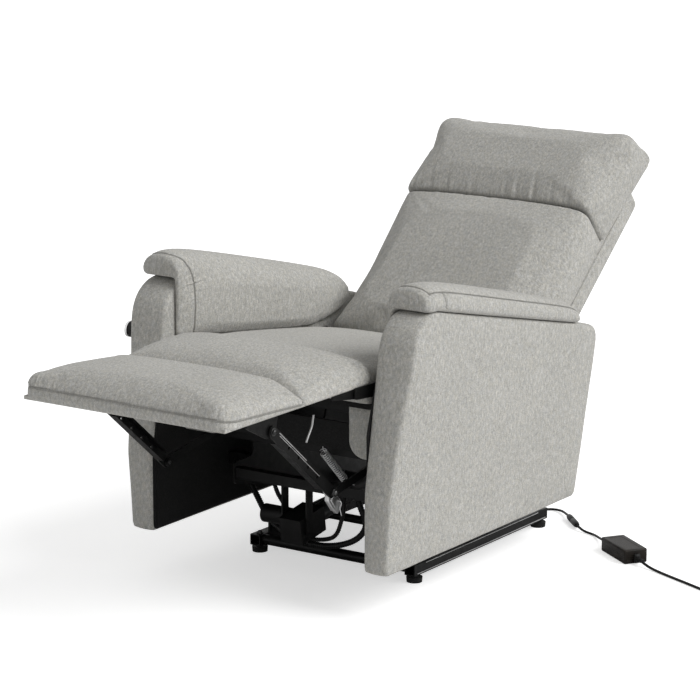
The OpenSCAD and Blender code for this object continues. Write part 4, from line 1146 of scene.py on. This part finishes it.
def strip(name, a, b, x, body, wide):
    """A thin bright strip from a to b, each (y, z), on the plane at x: a painted highlight along an edge."""
    a, b = Vector((x, *a)) * MM, Vector((x, *b)) * MM
    edge = begin("cube", name, BRIGHT_STEEL_AND_PAINTED_HIGHLIGHT, size=1, scale=(0.0010, wide, (b - a).length))
    shape(edge, everything, bevel(0.0003, 1))
    shape(edge, facing((x, 0, 0)), inset(0.0004), extrude((math.copysign(0.0003, x), 0, 0)))
    turn = math.atan2(a.y - b.y, b.z - a.z)
    edge.data.transform(Matrix.Translation((a + b) / 2) @ Matrix.Rotation(turn, 4, "X"))
    finish_piece(edge, body)


# Painted highlights along edges: name, ends (y, z), plane x, body and width.
EDGES = (("rail_highlight_low_", (-96, 22), (476, 22), 232.3, "base", 0.0020),
         ("rail_highlight_high_", (-60, 41), (440, 41), 232.3, "base", 0.0016),
         ("link_highlight_a_", (-627.4, 465.8), (-528.9, 384.1), 228.8, "thrust_links", 0.0020),
         ("link_highlight_b_", (-627.1, 459.9), (-481.7, 339.2), 228.8, "thrust_links", 0.0016))


def make_edge_highlights():
    """Painted highlights: thin bright strips along the edges of the base rails and the thrust links."""
    for side, way in SIDES.items():
        for name, a, b, x, body, wide in EDGES:
            strip(name + side, a, b, x * way, body, wide)


def dome_bolt(name, r):
    """Domed bolt head on a washer, upright at the origin."""
    r *= MM
    washer = 0.0016
    bolt = begin("cylinder", name, DARK_STEEL, vertices=24, radius=r * 1.5, depth=washer,
                 location=(0, 0, washer / 2))
    dome = [step for rise, scale in ((0.22, 0.86), (0.16, 0.66), (0.06, 0.5))
            for step in (extrude((0, 0, r * rise)), resize(scale))]
    shape(bolt, facing((0, 0, 1)), inset(0.0004, 0.0003), inset(r * 0.45), extrude((0, 0, r * 0.35)),
          *dome, inset(0.0003, -r * 0.25))
    return bolt


BOLTS = [
    ("hinge_bolt", (235, -400, 513), 1, 7, "chassis"),
    ("elbow_bolt", (235, -432, 292), 1, 6, "drive_links"),
    ("thrust_bolt", (229, -650, 473), 1, 6, "thrust_links"),
    ("thrust_bolt_in", (222, -650, 473), -1, 6, "thrust_links"),
    ("elbow_bolt_in", (222, -432, 292), -1, 6, "thrust_links"),
]


def make_bolts():
    """Bolt heads at the pivots, on both sides of the linkage."""
    for name, at, way, r, body in BOLTS:
        for side, x in SIDES.items():
            bolt = dome_bolt(name + "_" + side, r)
            set_down(bolt, (at[0] * x, at[1], at[2]), (way * x, 0, 0), body)
    for x in (-218, 218):
        for y in (-87, 464):
            bolt = dome_bolt(f"foot_bolt_{'l' if x > 0 else 'r'}_{'f' if y < 0 else 'b'}", 6)
            set_down(bolt, (x, y, 44), (0, 0, 1), "base")


# ---------- Steel, plastic and timber parts ----------

NODE_FINISH = {
    COAT: ["base_rail_right", "base_rail_left", "base_cross_front", "base_cross_rear", "rear_lift_links",
           "front_lift_links", "chassis_plate_right", "chassis_plate_left", "chassis_cross_tube",
           "arm_brackets", "seat_rails", "side_plate_right", "side_plate_left", "legrest_pivot_brackets",
           "legrest_brackets", "drive_link_right", "drive_link_left", "drive_tube", "thrust_link_right",
           "thrust_link_left", "back_hinge_arms", "rear_rail"],
    ZINC: ["base_pivot_pins", "lift_pivot_pins"],
    CHROME: ["actuator_rod", "control_ring"],
    LINING: ["arm_lining_right", "arm_lining_left", "front_panel", "seat_deck"],
    CLOTH_SIDE: ["legrest_board", "back_frame"],
    RUBBER: ["base_feet"],
    DARK_STEEL: ["actuator_tube"],
}


def finish_nodes():
    chosen = {node: finish for finish, nodes in NODE_FINISH.items() for node in nodes}
    for name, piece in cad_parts.items():
        finish = chosen.get(name, PLASTIC)
        for slot in piece.material_slots:
            slot.material = finish


# ---------- Floor and light ----------

def make_floor():
    """A pale floor that the camera sees as white, darker only where the object shades it."""
    f = Finish("floor")
    f.set(Base_Color=(0.86, 0.86, 0.86, 1), Roughness=0.95, Specular_IOR_Level=0.1)
    seen = f.node("ShaderNodeLightPath").outputs["Is Camera Ray"]
    glow = f.node("ShaderNodeEmission", Color=(1, 1, 1, 1), Strength=0.56)
    both = f.node("ShaderNodeAddShader")
    pick = f.node("ShaderNodeMixShader")
    for source, target in ((f.shader.outputs[0], both.inputs[0]), (glow.outputs[0], both.inputs[1]),
                           (seen, pick.inputs[0]), (f.shader.outputs[0], pick.inputs[1]),
                           (both.outputs[0], pick.inputs[2]),
                           (pick.outputs[0], f.tree.nodes["Material Output"].inputs["Surface"])):
        f.link(source, target)
    mesh = bpy.data.meshes.new("floor")
    mesh.from_pydata([(-60, -60, 0), (60, -60, 0), (60, 60, 0), (-60, 60, 0)], [], [(0, 1, 2, 3)])
    mesh.materials.append(f.material)
    floor = add_object("floor", mesh)


def make_world():
    """Even white surroundings: bright to the camera and in reflections, softer as light."""
    world = bpy.data.worlds.new("room")
    bpy.context.scene.world = world
    world.use_nodes = True
    tree = world.node_tree
    sky = tree.nodes["Background"]
    sky.inputs["Color"].default_value = (1, 1, 1, 1)
    sky.inputs["Strength"].default_value = 0.40
    white = tree.nodes.new("ShaderNodeBackground")
    white.inputs["Color"].default_value = (1, 1, 1, 1)
    path = tree.nodes.new("ShaderNodeLightPath")
    seen = path.outputs["Is Camera Ray"]
    for kind in ("Is Glossy Ray", "Is Transmission Ray"):
        add = tree.nodes.new("ShaderNodeMath")
        add.operation = "MAXIMUM"
        tree.links.new(seen, add.inputs[0])
        tree.links.new(path.outputs[kind], add.inputs[1])
        seen = add.outputs[0]
    mix = tree.nodes.new("ShaderNodeMixShader")
    tree.links.new(seen, mix.inputs[0])
    tree.links.new(sky.outputs[0], mix.inputs[1])
    tree.links.new(white.outputs[0], mix.inputs[2])
    tree.links.new(mix.outputs[0], tree.nodes["World Output"].inputs["Surface"])


def make_sun():
    data = bpy.data.lights.new("key", "SUN")
    put(data, energy=2.22, angle=math.radians(42))
    sun = add_object("key", data)
    sun.rotation_mode = "QUATERNION"
    sun.rotation_quaternion = Vector((0.73, 0.16, 0.66)).to_track_quat("Z", "Y")


make_seat()
make_legrest()
make_back()
make_back_cover()
for side in SIDES:
    make_arm_panel(side)
    make_arm_pad(side)
make_aprons()
make_looms()
make_connector()
make_adapter()
make_reliefs()
make_spring()
make_hook()
make_tie_fitting()
make_edge_highlights()
make_bolts()
finish_nodes()
make_floor()
make_world()
make_sun()
bpy.context.scene.view_settings.view_transform = "Standard"
